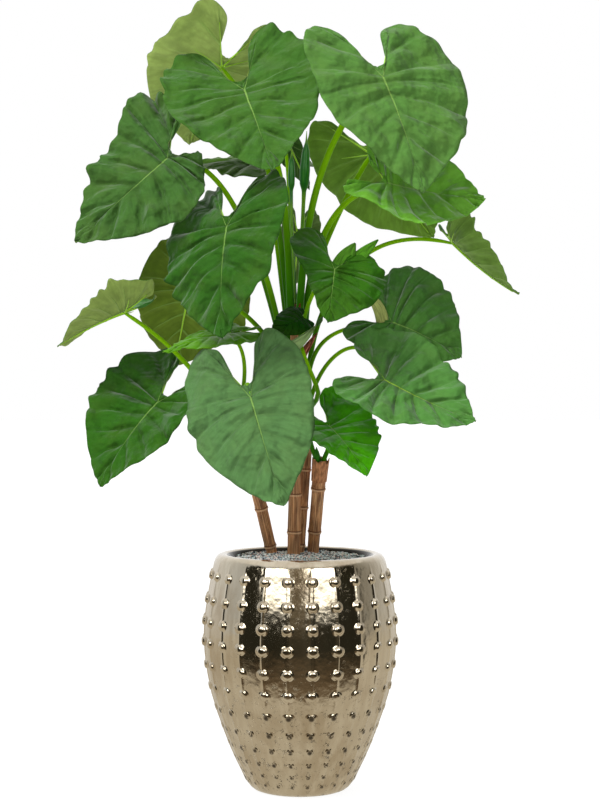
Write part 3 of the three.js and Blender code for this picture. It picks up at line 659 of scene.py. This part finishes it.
# The under colours of the leaves seen from below, leaf_top_back's most of all, are brighter than the
# blade's own colour: painted light shining through the blade.
LEAVES = {
    "leaf_top_back": dict(
        cane="cane_2", height=1170, rise=(-48, 22, 1340), arrive=(-60, 90, 1660),
        junction=(-202, 160, 1830), tip=(-295, 340, 1647), faces=(-0.35, 0.75, 0.55),
        widths=(1.1, 0.8), lobes=(1.4, 1), bend=(0.25, 0), curl=(-0.1, 0.1), stalk=8,
        upper=(70, 115, 50), under=(160, 184, 98)),
    "leaf_top_front": dict(
        cane="cane_2", height=1160, rise=(-35, -35, 1330), arrive=(-15, -40, 1575),
        junction=(-138, -60, 1742), tip=(-63, -245, 1525), faces=(-0.1, -0.65, 0.75),
        widths=(1, 1.05), lobes=(1.2, 1), bend=(0.2, -0.15), curl=(-0.4, -0.3), stalk=10, frill=1.6,
        valley_shade=0.2, upper=(62, 103, 40)),
    "leaf_top_right": dict(
        cane="cane_2", height=1150, rise=(5, -40, 1350), arrive=(25, -60, 1620),
        junction=(202, -100, 1768), tip=(296, -205, 1477), faces=(0.4, -0.85, 0.35),
        widths=(1.12, 0.88), lobes=(1, 1.03), bend=(0.25, 0.5), curl=(0.2, 0.15), stalk=10,
        frill=0.8, valley_shade=0.3, upper=(82, 125, 58)),
    "leaf_left_high": dict(
        cane="cane_2", height=1055, rise=(-75, 14, 1200), arrive=(-140, -45, 1590),
        junction=(-326, -60, 1573), tip=(-550, -100, 1364), faces=(-0.35, -0.85, 0.4),
        widths=(0.85, 0.8), lobes=(0.35, 0.65), shoulder=(-0.4, 0.5), bend=(0.1, 0.4),
        curl=(0.6, -0.1), wave=0.035, stalk=8, frill=2, crease=1.6, gloss=0.12, valley_shade=0.8,
        upper=(62, 99, 44)),
    "leaf_left_mid": dict(
        cane="cane_2", height=1040, rise=(-65, -40, 1180), arrive=(-80, -120, 1385),
        junction=(-176, -200, 1396), tip=(-184, -315, 1127), faces=(-0.58, -0.75, 0.3),
        widths=(0.86, 1.06), lobes=(0.9, 1.03), bend=(0.3, 0.7), curl=(0.4, 0.4), wave=0.025,
        stalk=8, frill=2.2, crease=1.4, gloss=0.08, valley_shade=0.9, upper=(48, 90, 30)),
    "leaf_left_back": dict(
        cane="cane_2", height=1020, rise=(-60, 25, 1130), arrive=(-155, 130, 1235),
        junction=(-284, 150, 1260), tip=(-329, 255, 1057), faces=(0, 0.8, 0.6), widths=(0.9, 1.1),
        lobes=(1.07, 1), bend=(0.2, 0.2), curl=(0.8, 0.8), stalk=7, upper=(52, 105, 42),
        under=(100, 125, 42)),
    "leaf_left_far": dict(
        cane="cane_1", height=850, rise=(-200, 0, 990), arrive=(-310, 20, 1110),
        junction=(-441, 10, 1198), tip=(-606, -5, 1110), faces=(-0.27, 0.2, 0.95), widths=(1.1, 1),
        lobes=(0.9, 0.85), bend=(0.2, -0.2), curl=(-0.9, -0.9), wave=0.03, stalk=7,
        upper=(60, 115, 50), under=(140, 162, 84)),
    "leaf_low_left": dict(
        cane="cane_1", height=835, rise=(-150, -50, 955), arrive=(-270, 10, 925),
        junction=(-353, -40, 971), tip=(-490, -112, 766), faces=(-0.4, -0.65, 0.63),
        widths=(0.92, 1.1), lobes=(0.97, 1.1), bend=(0.45, 0.2), curl=(-0.6, -0.5), wave=0.03,
        stalk=7, frill=1.4, crease=1.5, gloss=0.08, valley_shade=0.9, upper=(46, 90, 26)),
    "leaf_low_front": dict(
        cane="cane_1", height=915, rise=(-140, -130, 980), arrive=(-125, -250, 1060),
        junction=(-117, -270, 988), tip=(-38, -365, 736), faces=(-0.3, -0.9, 0.27),
        widths=(0.82, 0.98), lobes=(1, 1.13), bend=(0.15, 0.4), curl=(0.75, 0.65), stalk=7,
        valley_shade=0.5, upper=(80, 117, 68)),
    "leaf_left_narrow": dict(
        cane="cane_1", height=915, rise=(-155, 30, 985), arrive=(-110, -30, 1070),
        junction=(-168, -70, 1142), tip=(-335, -120, 1093), faces=(-0.3, -0.34, 1),
        widths=(0.8, 0.8), lobes=(0.9, 0.9), bend=(0.3, 0.3), curl=(0.3, 0.3), stalk=6, gloss=0.05,
        upper=(84, 140, 30)),
    "leaf_mid_small": dict(
        cane="cane_2", height=1050, rise=(-3, -50, 1150), arrive=(22, -95, 1265),
        junction=(83, -190, 1294), tip=(66, -275, 1165), faces=(0.2, -0.8, 0.5), widths=(1.3, 0.65),
        lobes=(0.8, 1.45), shoulder=(0, 0.9), bend=(0.2, 0.2), curl=(0.3, 0.3), stalk=6, gloss=0.1,
        valley_shade=0.1, upper=(46, 94, 18)),
    "leaf_crown_small": dict(
        cane="cane_2", height=990, rise=(-10, -75, 1030), arrive=(15, -130, 1130),
        junction=(6, -155, 1177), tip=(-70, -195, 1133), faces=(-0.1, -0.85, 0.5),
        widths=(0.65, 0.85), lobes=(0.3, 0.4), bend=(0.4, 0.4), curl=(0.8, 0.8), wave=0.03, stalk=4,
        gloss=0.02, valley_shade=0, crease=0.4, upper=(24, 66, 14), vein=(10, 48, 4)),
    "leaf_right_back": dict(
        cane="cane_3", height=930, rise=(5, 0, 1140), arrive=(80, 75, 1158),
        junction=(228, -20, 1169), tip=(402, -25, 1080), faces=(0.15, -0.85, 0.4),
        widths=(1.5, 0.75), lobes=(0.8, 0.95), bend=(0.6, 0.4), curl=(0.3, 0.2), wave=0.025,
        stalk=6, crease=1.4, gloss=0.12, valley_shade=1, upper=(62, 108, 44)),
    "leaf_right_low": dict(
        cane="cane_4", height=822, rise=(-45, -15, 1000), arrive=(150, 40, 1230),
        junction=(205, -160, 1027), tip=(420, -225, 929), faces=(0.2, -0.67, 0.7),
        widths=(1.1, 0.95), lobes=(0.9, 0.7), bend=(-0.2, 0.5), curl=(-0.3, -0.5), stalk=6,
        crease=1.4, gloss=0.12, valley_shade=0.6, upper=(76, 125, 58), vein=(175, 215, 70)),
    "leaf_right_small": dict(
        cane="cane_4", height=822, rise=(85, 0, 880), arrive=(95, -110, 950),
        junction=(72, -160, 915), tip=(160, -250, 802), faces=(0.42, -0.64, 0.65),
        widths=(1.1, 0.94), lobes=(1.18, 1), bend=(0.3, -0.4), curl=(-0.6, -0.5), wave=0.025,
        stalk=6, upper=(62, 142, 0)),
    "leaf_right_high": dict(
        cane="cane_2", height=1130, rise=(20, 0, 1325), arrive=(60, -30, 1485),
        junction=(216, -60, 1512), tip=(461, -30, 1476), faces=(0.22, -0.78, 0.6),
        widths=(1.03, 1.08), lobes=(0.4, 0.8), shoulder=(0, -0.5), bend=(-0.3, 0.3),
        curl=(-0.6, -0.9), stalk=9, frill=1.4, crease=1.5, gloss=0.1, upper=(102, 164, 54)),
    "leaf_right_behind": dict(
        cane="cane_2", height=1140, rise=(6, 30, 1250), arrive=(95, 110, 1470),
        junction=(186, 150, 1603), tip=(344, 170, 1390), faces=(0.35, 0.71, 0.6), widths=(1.05, 1),
        lobes=(1.03, 1), bend=(-0.2, 0.2), curl=(0.1, 0.2), stalk=9, upper=(55, 110, 40),
        under=(110, 150, 55)),
    "leaf_right_far": dict(
        cane="cane_3", height=930, rise=(5, 80, 1175), arrive=(110, 75, 1435),
        junction=(390, 90, 1377), tip=(554, 75, 1241), faces=(0.5, 0, 0.87), widths=(0.85, 1.1),
        lobes=(0.5, 0.35), bend=(-0.3, 0.4), curl=(-0.5, -1.2), wave=0.03, stalk=7,
        upper=(60, 110, 40), under=(108, 142, 62)),
    "leaf_back_top": dict(
        cane="cane_2", height=1085, rise=(-50, 60, 1250), arrive=(-60, 170, 1480),
        junction=(-112, 340, 1607), tip=(-279, 480, 1613), faces=(-0.2, -0.1, 1), widths=(1, 1),
        lobes=(1, 1), bend=(0.3, 0.3), curl=(0.3, 0.3), stalk=7, gloss=0.05, upper=(62, 92, 34),
        under=(100, 115, 70)),
    "leaf_back_mid": dict(
        cane="cane_2", height=1190, rise=(-18, 52, 1350), arrive=(-30, 130, 1560),
        junction=(-39, 170, 1655), tip=(25, 240, 1519), faces=(0.1, 0.9, 0.5), widths=(0.45, 0.3),
        lobes=(0.8, 0.8), bend=(0.2, 0.2), curl=(0.3, 0.3), stalk=6, upper=(60, 110, 50),
        under=(62, 96, 40)),
    "leaf_back_low": dict(
        cane="cane_2", height=1070, rise=(0, 55, 1180), arrive=(10, 120, 1330),
        junction=(-5, 180, 1400), tip=(-15, 260, 1270), faces=(0.1, 0.9, 0.5), widths=(0.45, 0.6),
        lobes=(1, 1), bend=(0.2, 0.2), curl=(0.3, 0.3), stalk=6, upper=(60, 110, 50),
        under=(90, 115, 60)),
}
DRY_TINT = (135, 125, 60)
RIB = (150, 205, 25)
STALK_TOP, STALK_FOOT = (138, 198, 12), (50, 110, 10)


def paint(red, green, blue):
    """A colour as it looks on a screen, from 0 to 255, turned into light."""
    return tuple((value / 255) ** 2.2 for value in (red, green, blue))


def shaded(colour, share):
    """The colour made darker, or lighter where share is over 1."""
    return tuple(min(value * share, 1.0) for value in colour)


def curve_of_two(start, bend, end, t):
    """A curve from start to end, drawn towards bend, at shares t of its way."""
    return (1 - t) ** 2 * start + 2 * t * (1 - t) * bend + t**2 * end


def curve_of_three(start, rise, arrive, end, t):
    """A curve from start to end that leaves towards rise and comes in from arrive."""
    return ((1 - t) ** 3 * start + 3 * t * (1 - t) ** 2 * rise + 3 * t**2 * (1 - t) * arrive
            + t**3 * end)


def half_outline(share):
    """The smooth curve through the half outline, at shares from the notch to the tip."""
    knots = np.array(HALF_OUTLINE)
    last = len(knots) - 1
    at = np.clip(share, 0, 1) * last
    i = np.minimum(at.astype(int), last - 1)
    t = (at - i)[:, None]
    before, start, end, after = (knots[np.clip(i + step, 0, last)] for step in (-1, 0, 1, 2))
    leave, enter = (end - before) / 2, (after - start) / 2
    return ((2 * start - 2 * end + leave + enter) * t**3
            + (3 * end - 3 * start - 2 * leave - enter) * t**2 + leave * t + start)


def blade_edge(leaf, side, share):
    """The blade's outline on one side, flat, in shares of its length."""
    which = 0 if side > 0 else 1
    calm = np.sin(math.pi * share)
    edge = half_outline(share)
    edge *= (1 + SCALLOP * calm * np.sin(math.tau * MARGIN_WAVES * share + side * LEFT_PHASE))[:, None]
    middle = sum(leaf["lobes"]) / 2  # both lobes start alike at the notch
    lobe = middle + (leaf["lobes"][which] - middle) * np.clip(share / 0.1, 0, 1)
    edge[:, 1] *= np.where(edge[:, 1] < 0, lobe, 1)
    narrow = np.clip((share - SHOULDER[0]) / (SHOULDER[1] - SHOULDER[0]), 0, 1)
    wider = leaf["shoulder"][which] * (1 - narrow**2 * (3 - 2 * narrow))
    edge[:, 0] *= side * leaf["widths"][which] * (1 + wider)
    return edge


def blade_axes(leaf):
    """Where the blade starts, its length, and the ways along it and up from it."""
    start, tip, faces = points_in(leaf, "junction", "tip", "faces")
    length = np.linalg.norm(tip - start)
    along = (tip - start) / length
    up = faces - faces.dot(along) * along
    return start, length, along, up / np.linalg.norm(up)


def blade_placer(leaf):
    """Takes flat points and the height off the blade to their place on the bent blade."""
    start, length, along, up = blade_axes(leaf)
    sideways = np.cross(up, along)
    tip_bend, lobe_bend = (value or FLAT for value in leaf["bend"])
    right_curl, left_curl = (value or FLAT for value in leaf["curl"])
    chord = 2 * math.sin(tip_bend / 2) / tip_bend

    def place(u, v, lift):
        bend = np.where(v > 0, tip_bend, lobe_bend)
        curl = np.where(u > 0, right_curl, left_curl)
        drop = lift - (1 - np.cos(bend * v)) / bend - (1 - np.cos(curl * u)) / curl
        forward = np.sin(bend * v) / bend
        out = np.sin(curl * u) / curl
        cosine, sine = math.cos(tip_bend / 2), math.sin(tip_bend / 2)
        flat = (out[:, None] * sideways + (forward * cosine - drop * sine)[:, None] * along
                + (forward * sine + drop * cosine)[:, None] * up)
        return (start + length / chord * flat) * MM

    return place


def vein_start(edge_at_basal, row):
    """Where the side vein at a row starts: on the basal vein for the lobe, then on the midrib."""
    out = np.clip(1 - np.abs(row - BASAL_ROW) / BASAL_ROW, 0, 1)[:, None] * edge_at_basal * BASAL_REACH
    ahead = np.clip((row - LOBE_ROWS) / (1 - LOBE_ROWS), 0, 1) ** CROWDING_START
    return out + ahead[:, None] * np.array([0.0, 1.0])


def uneven(seed, across, along):
    """Smooth noise at each pair of values."""
    return np.array([noise.noise(Vector((a + seed, b, seed * 1.7))) for a, b in zip(across, along)])


def half_blade(leaf, side, seed):
    """One half of the blade: rows of the sheet run as the side veins do, from midrib to margin."""
    place_on = blade_placer(leaf)
    basal = blade_edge(leaf, side, np.array([BASAL_SHARE]))

    def place(reach, row):
        share = np.interp(row, [0, BASAL_ROW, LOBE_ROWS, 1], [0, BASAL_SHARE, 0.5, 1])
        panel = row * PANELS
        calm = np.sin(math.pi * share)
        frill = leaf["frill"] * FRILL * calm * (0.5 + 0.5 * np.sin(17 * share + 3 * seed))
        arch = np.abs(np.sin(math.pi * panel)) ** 0.8 - 0.55
        small = np.sin(3.1 * math.pi * panel + seed) * 0.4
        edge = blade_edge(leaf, side, share) * (1 + frill * (arch + small))[:, None]
        start = vein_start(basal, row)
        span = np.linalg.norm(edge - start, axis=1)
        bow = VEIN_BOW * span * np.clip((row - 0.35) / 0.15, 0, 1)
        middle = (start + edge) / 2 - bow[:, None] * np.array([0.0, 1.0])
        flat = curve_of_two(start, middle, edge, reach[:, None])
        phase = 0 if side > 0 else LEFT_PHASE
        wave = leaf["wave"] * reach**2 * np.sin(math.tau * MARGIN_WAVES * share + phase) * calm
        puff = PUFF * arch * reach**0.6 * (1.05 - reach) ** 0.5 * 1.5 * np.clip(span / 0.35, 0, 1)
        ripple = 0.5 * frill * reach**3 * (np.sin(math.pi * panel + seed) + 2 * small)
        crease = uneven(seed, reach * 2.2, row * 26) * CREASE * np.clip(reach * 3, 0, 1)
        swell = uneven(seed, flat[:, 0] * 3, flat[:, 1] * 3) * SWELL * reach
        swell += uneven(seed + 9, flat[:, 0] * 8, flat[:, 1] * 8) * FINE_SWELL * reach
        sunk = SUNK_MIDRIB * np.exp(-((reach / 0.05) ** 2))
        lift = wave + (puff + crease) * leaf["crease"] + ripple + swell - sunk
        return place_on(flat[:, 0], flat[:, 1], lift)

    half = sheet("half", BLADE_COLUMNS, PANELS * PANEL_ROWS, place)
    if side > 0:
        worked(bpy.ops.mesh.flip_normals)
    return half


def thickened(thin, thickness, **settings):
    """Gives a sheet, the active piece, its thickness."""
    solid = thin.modifiers.new("thickness", "SOLIDIFY")
    solid.thickness = thickness
    for key, value in settings.items():
        setattr(solid, key, value)
    bpy.ops.object.modifier_apply(modifier=solid.name)
    return thin


def blade(leaf, seed, *sides):
    both = joined(half_blade(leaf, 1, seed), half_blade(leaf, -1, seed))
    for material in sides:
        both.data.materials.append(material)
    worked(bpy.ops.mesh.remove_doubles, threshold=1e-5)
    return thickened(both, BLADE_THICKNESS, offset=0, material_offset=1)


def stalk(leaf):
    """The stalk stands on the cane's top or its side, and ends under the notch of the blade."""
    cane = CANES[leaf["cane"]]
    foot, top = points_in(cane, "foot", "top")
    rise, arrive, junction = points_in(leaf, "rise", "arrive", "junction")
    share = (leaf["height"] - foot[2]) / (top[2] - foot[2])
    base = foot + (top - foot) * share
    out = (rise - base) * (1, 1, 0)  # level, from the cane's axis
    out /= np.linalg.norm(out)
    radius = cane_radius(cane, share)
    base += out * (radius - leaf["stalk"] - 2 if share >= 1 else radius + leaf["stalk"] - 4)
    t = np.linspace(0, 1, STALK_STEPS)[:, None]
    path = curve_of_three(base, rise, arrive, junction, t)
    radii = leaf["stalk"] * (1 - STALK_TAPER * t[:, 0]) * np.interp(t[:, 0], [0.95, 1], [1, 0.7])
    under = np.interp(t, [0.75, 1], [0, radii[-1] + 4])
    path -= under * blade_axes(leaf)[3]
    return tube("stalk", path * MM, radii * MM, STALK_SIDES)


def ribs(leaf):
    """The midrib and the basal veins, two on each half, which stand out under the blade."""
    place_on = blade_placer(leaf)
    length = math.dist(leaf["junction"], leaf["tip"])
    t = np.linspace(0, 1, RIB_STEPS)
    made = []
    routes = [(np.array([0.0, 0.93]), 1.0)]
    for side in (1, -1):
        for share, reach, size in ((BASAL_SHARE, BASAL_REACH, 0.8), (SHORT_SHARE, SHORT_REACH, 0.6)):
            routes.append((blade_edge(leaf, side, np.array([share]))[0] * reach, size))
    for end, size in routes:
        radii = (RIB_RADIUS - RIB_TAPER * t**0.7) * size
        lift = -(radii + (SHORT_DEPTH if size < 0.7 else RIB_DEPTH)) / length
        made.append(tube("rib", place_on(end[0] * t, end[1] * t, lift), radii * MM, RIB_SIDES))
    return made


def blended(first, second, share):
    """The colour that lies share of the way from first to second."""
    return tuple(a + (b - a) * share for a, b in zip(first, second))


def off_side_vein(reach, row):
    """How far off the nearest side vein a place is, less so near the midrib."""
    return ((row * PANELS + 0.5).math("FRACT") - 0.5).math("ABSOLUTE") * (reach * 0.75 + 0.25)


def leaf_upper(name, colour, vein, gloss, valley_shade):
    """The upper side. Its map gives the reach from the midrib and the row of side veins. The higher
    valley_shade, the darker the shade painted into the valleys at its side veins."""
    top = Finish(name + "_upper", Roughness=0.42, Specular_IOR_Level=gloss)
    reach, row = top.own_map()
    off_vein = off_side_vein(reach, row)
    side_vein = (1 - off_vein.within(0.006, 0.024)) * (1 - reach.within(0.15, 0.9))
    midrib = 1 - reach.within(0.006, 0.02)
    streak = top.noise(1.0, 5.0, top.drawn_out(reach * 3.5, row * 70))
    blotch = top.noise(14.0, 4.0)
    pucker = top.noise(75.0, 4.0)
    tone = top.mix(streak.within(0.3, 0.7), shaded(colour, 0.9), shaded(colour, 1.1))
    tone = top.mix(blotch.within(0.35, 0.75) * 0.5, tone, blended(colour, paint(*DRY_TINT), 0.1))
    tone = top.mix(side_vein * (0.3 - 0.25 * valley_shade), tone, blended(colour, vein, 0.35))
    # painted shade: the valleys at the side veins are painted darker, as the shade in the creases
    valley_shade_mask = (1 - off_vein.within(0.0, 0.08)) * (1 - reach.within(0.15, 0.9) * 0.8) * blotch
    tone = top.mix(valley_shade_mask * valley_shade, tone, shaded(colour, 0.4))
    thick = midrib * (1 - row.within(0.5, 1.0) * 0.5)
    top.feed("Base Color", top.mix(thick * (1 - 0.35 * valley_shade), tone, blended(colour, vein, 0.8)))
    valley = 1 - off_vein.within(0.0, 0.12)
    groove = top.bump(valley * (1 - reach.within(0.3, 1.0) * 0.6) + midrib, -0.0024)
    rumple = top.noise(15.0, 0.5) + top.noise(34.0, 1.0) * 0.3
    rumpled = top.bump(rumple, 0.04, groove)
    top.feed("Normal", top.bump(streak * 0.4 + pucker, 0.0026, rumpled))
    return top.material


def leaf_under(name, colour):
    """The underside is duller and paler, with the side veins a little raised. On leaves seen from below
    its colour also holds painted light shining through the blade.
    """
    below = Finish(name + "_under", Roughness=0.6, Specular_IOR_Level=0.1)
    reach, row = below.own_map()
    side_vein = (1 - off_side_vein(reach, row).within(0.010, 0.035)) * (1 - reach.within(0.5, 1.0))
    mottle = below.noise(28.0, 5.0)
    streak = below.noise(1.0, 4.0, below.drawn_out(reach * 3, row * 50))
    tone = below.mix(mottle.within(0.3, 0.7), shaded(colour, 0.85), shaded(colour, 1.15))
    tone = below.mix(streak.within(0.35, 0.65) * 0.4, tone, shaded(colour, 0.6))
    below.feed("Base Color", below.mix(side_vein * 0.6, tone, blended(colour, paint(*VEIN), 0.6)))
    below.feed("Normal", below.bump(side_vein + mottle * 0.6, 0.0016))
    return below.material


def stalk_finish():
    """The stalk is dark at the cane and bright near the blade."""
    green = Finish("stalk_green", Roughness=0.45, Specular_IOR_Level=0.06)
    around, along = green.own_map()
    streak = green.noise(1.0, 4.0, green.drawn_out(around * 14, along * 4))
    tone = green.mix(along.within(0.1, 0.85), paint(*STALK_FOOT), paint(*STALK_TOP))
    green.feed("Base Color", green.mix(streak.within(0.35, 0.7) * 0.35, tone, paint(*STALK_FOOT)))
    green.feed("Normal", green.bump(streak, 0.0008))
    return green.material


def rib_finish():
    """The veins under the blade are a fresh green."""
    rib = Finish("rib_green", Roughness=0.45)
    tint = rib.noise(60.0, 3.0)
    rib.feed("Base Color", rib.mix(tint, shaded(paint(*RIB), 0.75), shaded(paint(*RIB), 1.2)))
    return rib.material


stalk_green, rib_green = stalk_finish(), rib_finish()
for number, (name, row) in enumerate(LEAVES.items()):
    leaf = {**USUAL, **row}
    upper = leaf_upper(name, paint(*leaf["upper"]), paint(*leaf["vein"]), leaf["gloss"], leaf["valley_shade"])
    under = leaf_under(name, paint(*leaf["under"]))
    body = blade(leaf, number * LEAF_SEED, upper, under)
    stem, veins = stalk(leaf), ribs(leaf)
    stem.data.materials.append(stalk_green)
    for vein in veins:
        vein.data.materials.append(rib_green)
    joined(body, stem, *veins)
    bpy.ops.object.shade_smooth()
    body.name = name.replace("leaf", "foliage")
    body.visible_glossy = False
    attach(body, "root")
    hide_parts(name)

# ---- Rolled leaves --------------------------------------------------------------
# Two young leaves, still rolled into a spindle at the top of their stalks. They grow side by side
# out of the top of the tallest cane.
SPINDLE = [(0.45, 0), (0.9, 0.12), (1, 0.35), (0.75, 0.65), (0.2, 0.82), (0.05, 1)]  # radius, way up
ROLL_STEPS, ROLL_SIDES = 90, 14
ROLL, ROLL_STREAK, ROLL_SEAM = (22, 105, 14), (70, 150, 40), (110, 160, 50)
ROLL_STALK, ROLL_TIP = (110, 165, 15), (120, 170, 30)
SPEARS = {  # in millimetres
    "spear_front": dict(foot=(0, 5, 1211), rise=(3, 8, 1356), arrive=(10, 20, 1502),
                        end=(17, 20, 1648), radius=13, long=150, stalk=6),
    "spear_back": dict(foot=(-14, -4, 1211), rise=(-22, 10, 1344), arrive=(-22, 30, 1477),
                       end=(-21, 40, 1610), radius=9, long=110, stalk=5),
}


def rolled_leaf(name, spear):
    """The stalk and the rolled blade above it, as one body."""
    t = np.linspace(0, 1, ROLL_STEPS)[:, None]
    path = curve_of_three(*points_in(spear, "foot", "rise", "arrive", "end"), t)
    length = np.linalg.norm(np.diff(path, axis=0), axis=1).sum()
    start = 1 - spear["long"] / length
    marks = [0, start * 0.9, *(start + (1 - start) * along for _, along in SPINDLE)]
    sizes = [spear["stalk"], spear["stalk"] * 0.8, *(spear["radius"] * size for size, _ in SPINDLE)]
    radii = np.interp(t[:, 0], marks, sizes)
    return tube(name + "_rolled", path * MM, radii * MM, ROLL_SIDES)


def rolled_finish():
    """Dark glossy green with the seam of the roll winding up it."""
    roll = Finish("rolled_leaf", Roughness=0.35, Specular_IOR_Level=0.3)
    around, along = roll.own_map()
    winding = (around + along * 1.5).math("FRACT")
    seam = 1 - (winding - 0.5).math("ABSOLUTE").within(0.01, 0.05)
    streak = roll.noise(1.0, 3.0, roll.drawn_out(around * 9, along * 6))
    tone = roll.mix(along.within(0.6, 0.68), paint(*ROLL_STALK), paint(*ROLL))
    tone = roll.mix(along.within(0.9, 0.96), tone, paint(*ROLL_TIP))
    tone = roll.mix(streak.within(0.45, 0.65) * 0.6, tone, paint(*ROLL_STREAK))
    roll.feed("Base Color", roll.mix(seam * along.within(0.6, 0.7) * 0.7, tone, paint(*ROLL_SEAM)))
    roll.feed("Normal", roll.bump(seam, -0.001))
    return roll.material


rolled = rolled_finish()
for name, spear in SPEARS.items():
    body = rolled_leaf(name, spear)
    body.data.materials.append(rolled)
    bpy.ops.object.shade_smooth()
    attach(body, "root")
    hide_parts(name)

# ---- Bracts ---------------------------------------------------------------------
# Bracts once wrapped the young leaves. At the crown they are still green or just dried, and
# round the top of one cane they are left as a brown torn sheath.
BRACTS = {  # start, bend and tip of the middle line in millimetres, width, cup and ragged end
    "bract_pale": dict(line=((-52, -212, 1094), (-12, -232, 1097), (40, -177, 1160)), width=32, cup=0.9,
                       ragged=0.1, colour=(128, 155, 98)),
    "bract_brown": dict(line=((0, -90, 1070), (8, -120, 1098), (44, -112, 1143)), width=20, cup=1.0,
                        ragged=0.5, colour=(184, 108, 84)),
    "bract_stub": dict(line=((-10, -82, 1058), (-9, -98, 1080), (-2, -110, 1102)), width=18,
                       cup=1.0, ragged=0.5, colour=(150, 84, 66)),
    "bract_red": dict(line=((-6, -13, 1168), (-3, -50, 1188), (0, -60, 1217)), width=12, cup=0.8,
                      ragged=0.3, colour=(150, 60, 40)),
    "bract_tip_high": dict(line=((94, -150, 1278), (106, -140, 1316), (134, -150, 1358)), width=56,
                           cup=0.4, ragged=0.0, colour=(72, 122, 30)),
    "bract_side": dict(line=((206, -14, 1164), (200, -55, 1222), (152, -58, 1240)), width=32, cup=0.6,
                       ragged=0.1, colour=(162, 170, 98)),
    "bract_stem": dict(line=((46, 36, 800), (43, 20, 830), (41, 20, 858)), width=20, cup=1.2,
                       ragged=0.2, colour=(44, 112, 20)),
    "bract_tip_low": dict(line=((104, -150, 1280), (140, -140, 1325), (190, -150, 1366)), width=38,
                          cup=0.5, ragged=0.0, colour=(72, 128, 26)),
}
SHEATH = dict(cane="cane_4", low=368, high=442, tear=24, colour=(178, 122, 84))  # along the cane
BRACT_THICKNESS = 0.001
BRACT_GRID, SHEATH_GRID = (16, 20), (72, 12)  # faces across and along
BRACT_SEED = 1.37
PETIOLE = [(30, 8, 960, 6), (41, -24, 976, 6), (45, -62, 994, 6), (40, -92, 1012, 5.5),
           (31, -110, 1034, 5.5), (19, -122, 1062, 5), (9, -124, 1088, 5), (4, -120, 1108, 4)]
BUD = [(26, -150, 1145, 2.0), (34, -155, 1154, 1.8), (42, -158, 1160, 2.0), (46, -160, 1166, 5.5),
       (51, -161, 1173, 5.0), (55, -162, 1180, 0.8)]  # places along its middle, and the radius there
BUD_GREEN = (52, 84, 34)


def bract_finish(name, colour):
    """Dry fibres that run along the piece."""
    dry = Finish(name, Roughness=0.6, Specular_IOR_Level=0.2)
    across, along = dry.own_map()
    fibre = dry.noise(1.0, 4.0, dry.drawn_out(across * 22, along * 3))
    tone = dry.mix(fibre.within(0.35, 0.65), shaded(colour, 0.6), shaded(colour, 1.3))
    dry.feed("Base Color", tone)
    dry.feed("Normal", dry.bump(fibre, 0.002))
    return dry.material


def bract(name, line, width, cup, ragged, colour, seed):
    """A pointed strip along a curve, cupped away from its front, with a torn end."""
    start, bend, tip = (np.array(point, float) for point in line)

    def place(across, along):
        turn = (across * 2 - 1) * cup
        torn = 1 - ragged * np.abs(uneven(seed, across * 9, across * 0)) * 2
        t = (along * torn)[:, None]
        tangent = (1 - t) * (bend - start) + t * (tip - bend)
        side = unit(np.cross(tangent, (0.0, -1.0, 0.0)))
        half = width / 2 * (1 - 0.95 * along**3)
        out = half * (1 - np.cos(turn)) / np.sin(cup)
        out += uneven(seed + 3, across * 4, along * 3) * 3
        middle = curve_of_two(start, bend, tip, t)
        sideways = (half * np.sin(turn) / np.sin(cup))[:, None] * side
        return (middle + sideways + out[:, None] * (0, 1, 0)) * MM

    strip = sheet(name, *BRACT_GRID, place)
    strip.data.materials.append(bract_finish(name, paint(*colour)))
    return thickened(strip, BRACT_THICKNESS)


for number, (name, shape) in enumerate(BRACTS.items()):
    piece = bract(name, **shape, seed=number * BRACT_SEED)
    bpy.ops.object.shade_smooth()
    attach(piece, "root")


def torn_sheath(cane, low, high, tear, colour):
    """A torn sleeve round the top of a cane, a little wider than the cane."""
    foot, top = points_in(CANES[cane], "foot", "top")
    length = np.linalg.norm(top - foot)
    axis = (top - foot) / length
    side = np.cross(axis, (0.0, -1.0, 0.0))
    side /= np.linalg.norm(side)
    front = np.cross(side, axis)

    def place(around, up):
        turn = math.tau * around
        teeth = np.abs(((around * 9) % 1) - 0.5) * 2
        lost = tear * (0.35 + 0.9 * np.abs(uneven(4, np.cos(turn) * 2, np.sin(turn) * 2)) + 0.3 * teeth)
        at = low + (high - lost - low) * up
        radius = np.interp(at / length, [0, 1], CANES[cane]["radius"]) + 1.5 + 1.5 * up
        radius = radius * (1 + 0.05 * uneven(8, np.cos(turn) * 3, np.sin(turn) * 3))
        ring = np.cos(turn)[:, None] * side + np.sin(turn)[:, None] * front
        return (foot + at[:, None] * axis + radius[:, None] * ring) * MM

    sleeve = sheet("torn_sheath", *SHEATH_GRID, place)
    sleeve.data.materials.append(bract_finish("dry_sheath", paint(*colour)))
    return thickened(sleeve, BRACT_THICKNESS)


sleeve = torn_sheath(**SHEATH)
bpy.ops.object.shade_smooth()
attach(sleeve, "root")


def stem_along(name, marks, sides):
    """A thin stem along marks, each of them a place and a radius in millimetres."""
    marks = np.array(marks) * MM
    return tube(name, marks[:, :3], marks[:, 3], sides)


petiole = stem_along("petiole", PETIOLE, 12)
petiole.data.materials.append(stalk_green)
bpy.ops.object.shade_smooth()
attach(petiole, "root")

bud = stem_along("bud", BUD, 10)
bud.data.materials.append(bract_finish("bud_green", paint(*BUD_GREEN)))
bpy.ops.object.shade_smooth()
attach(bud, "root")
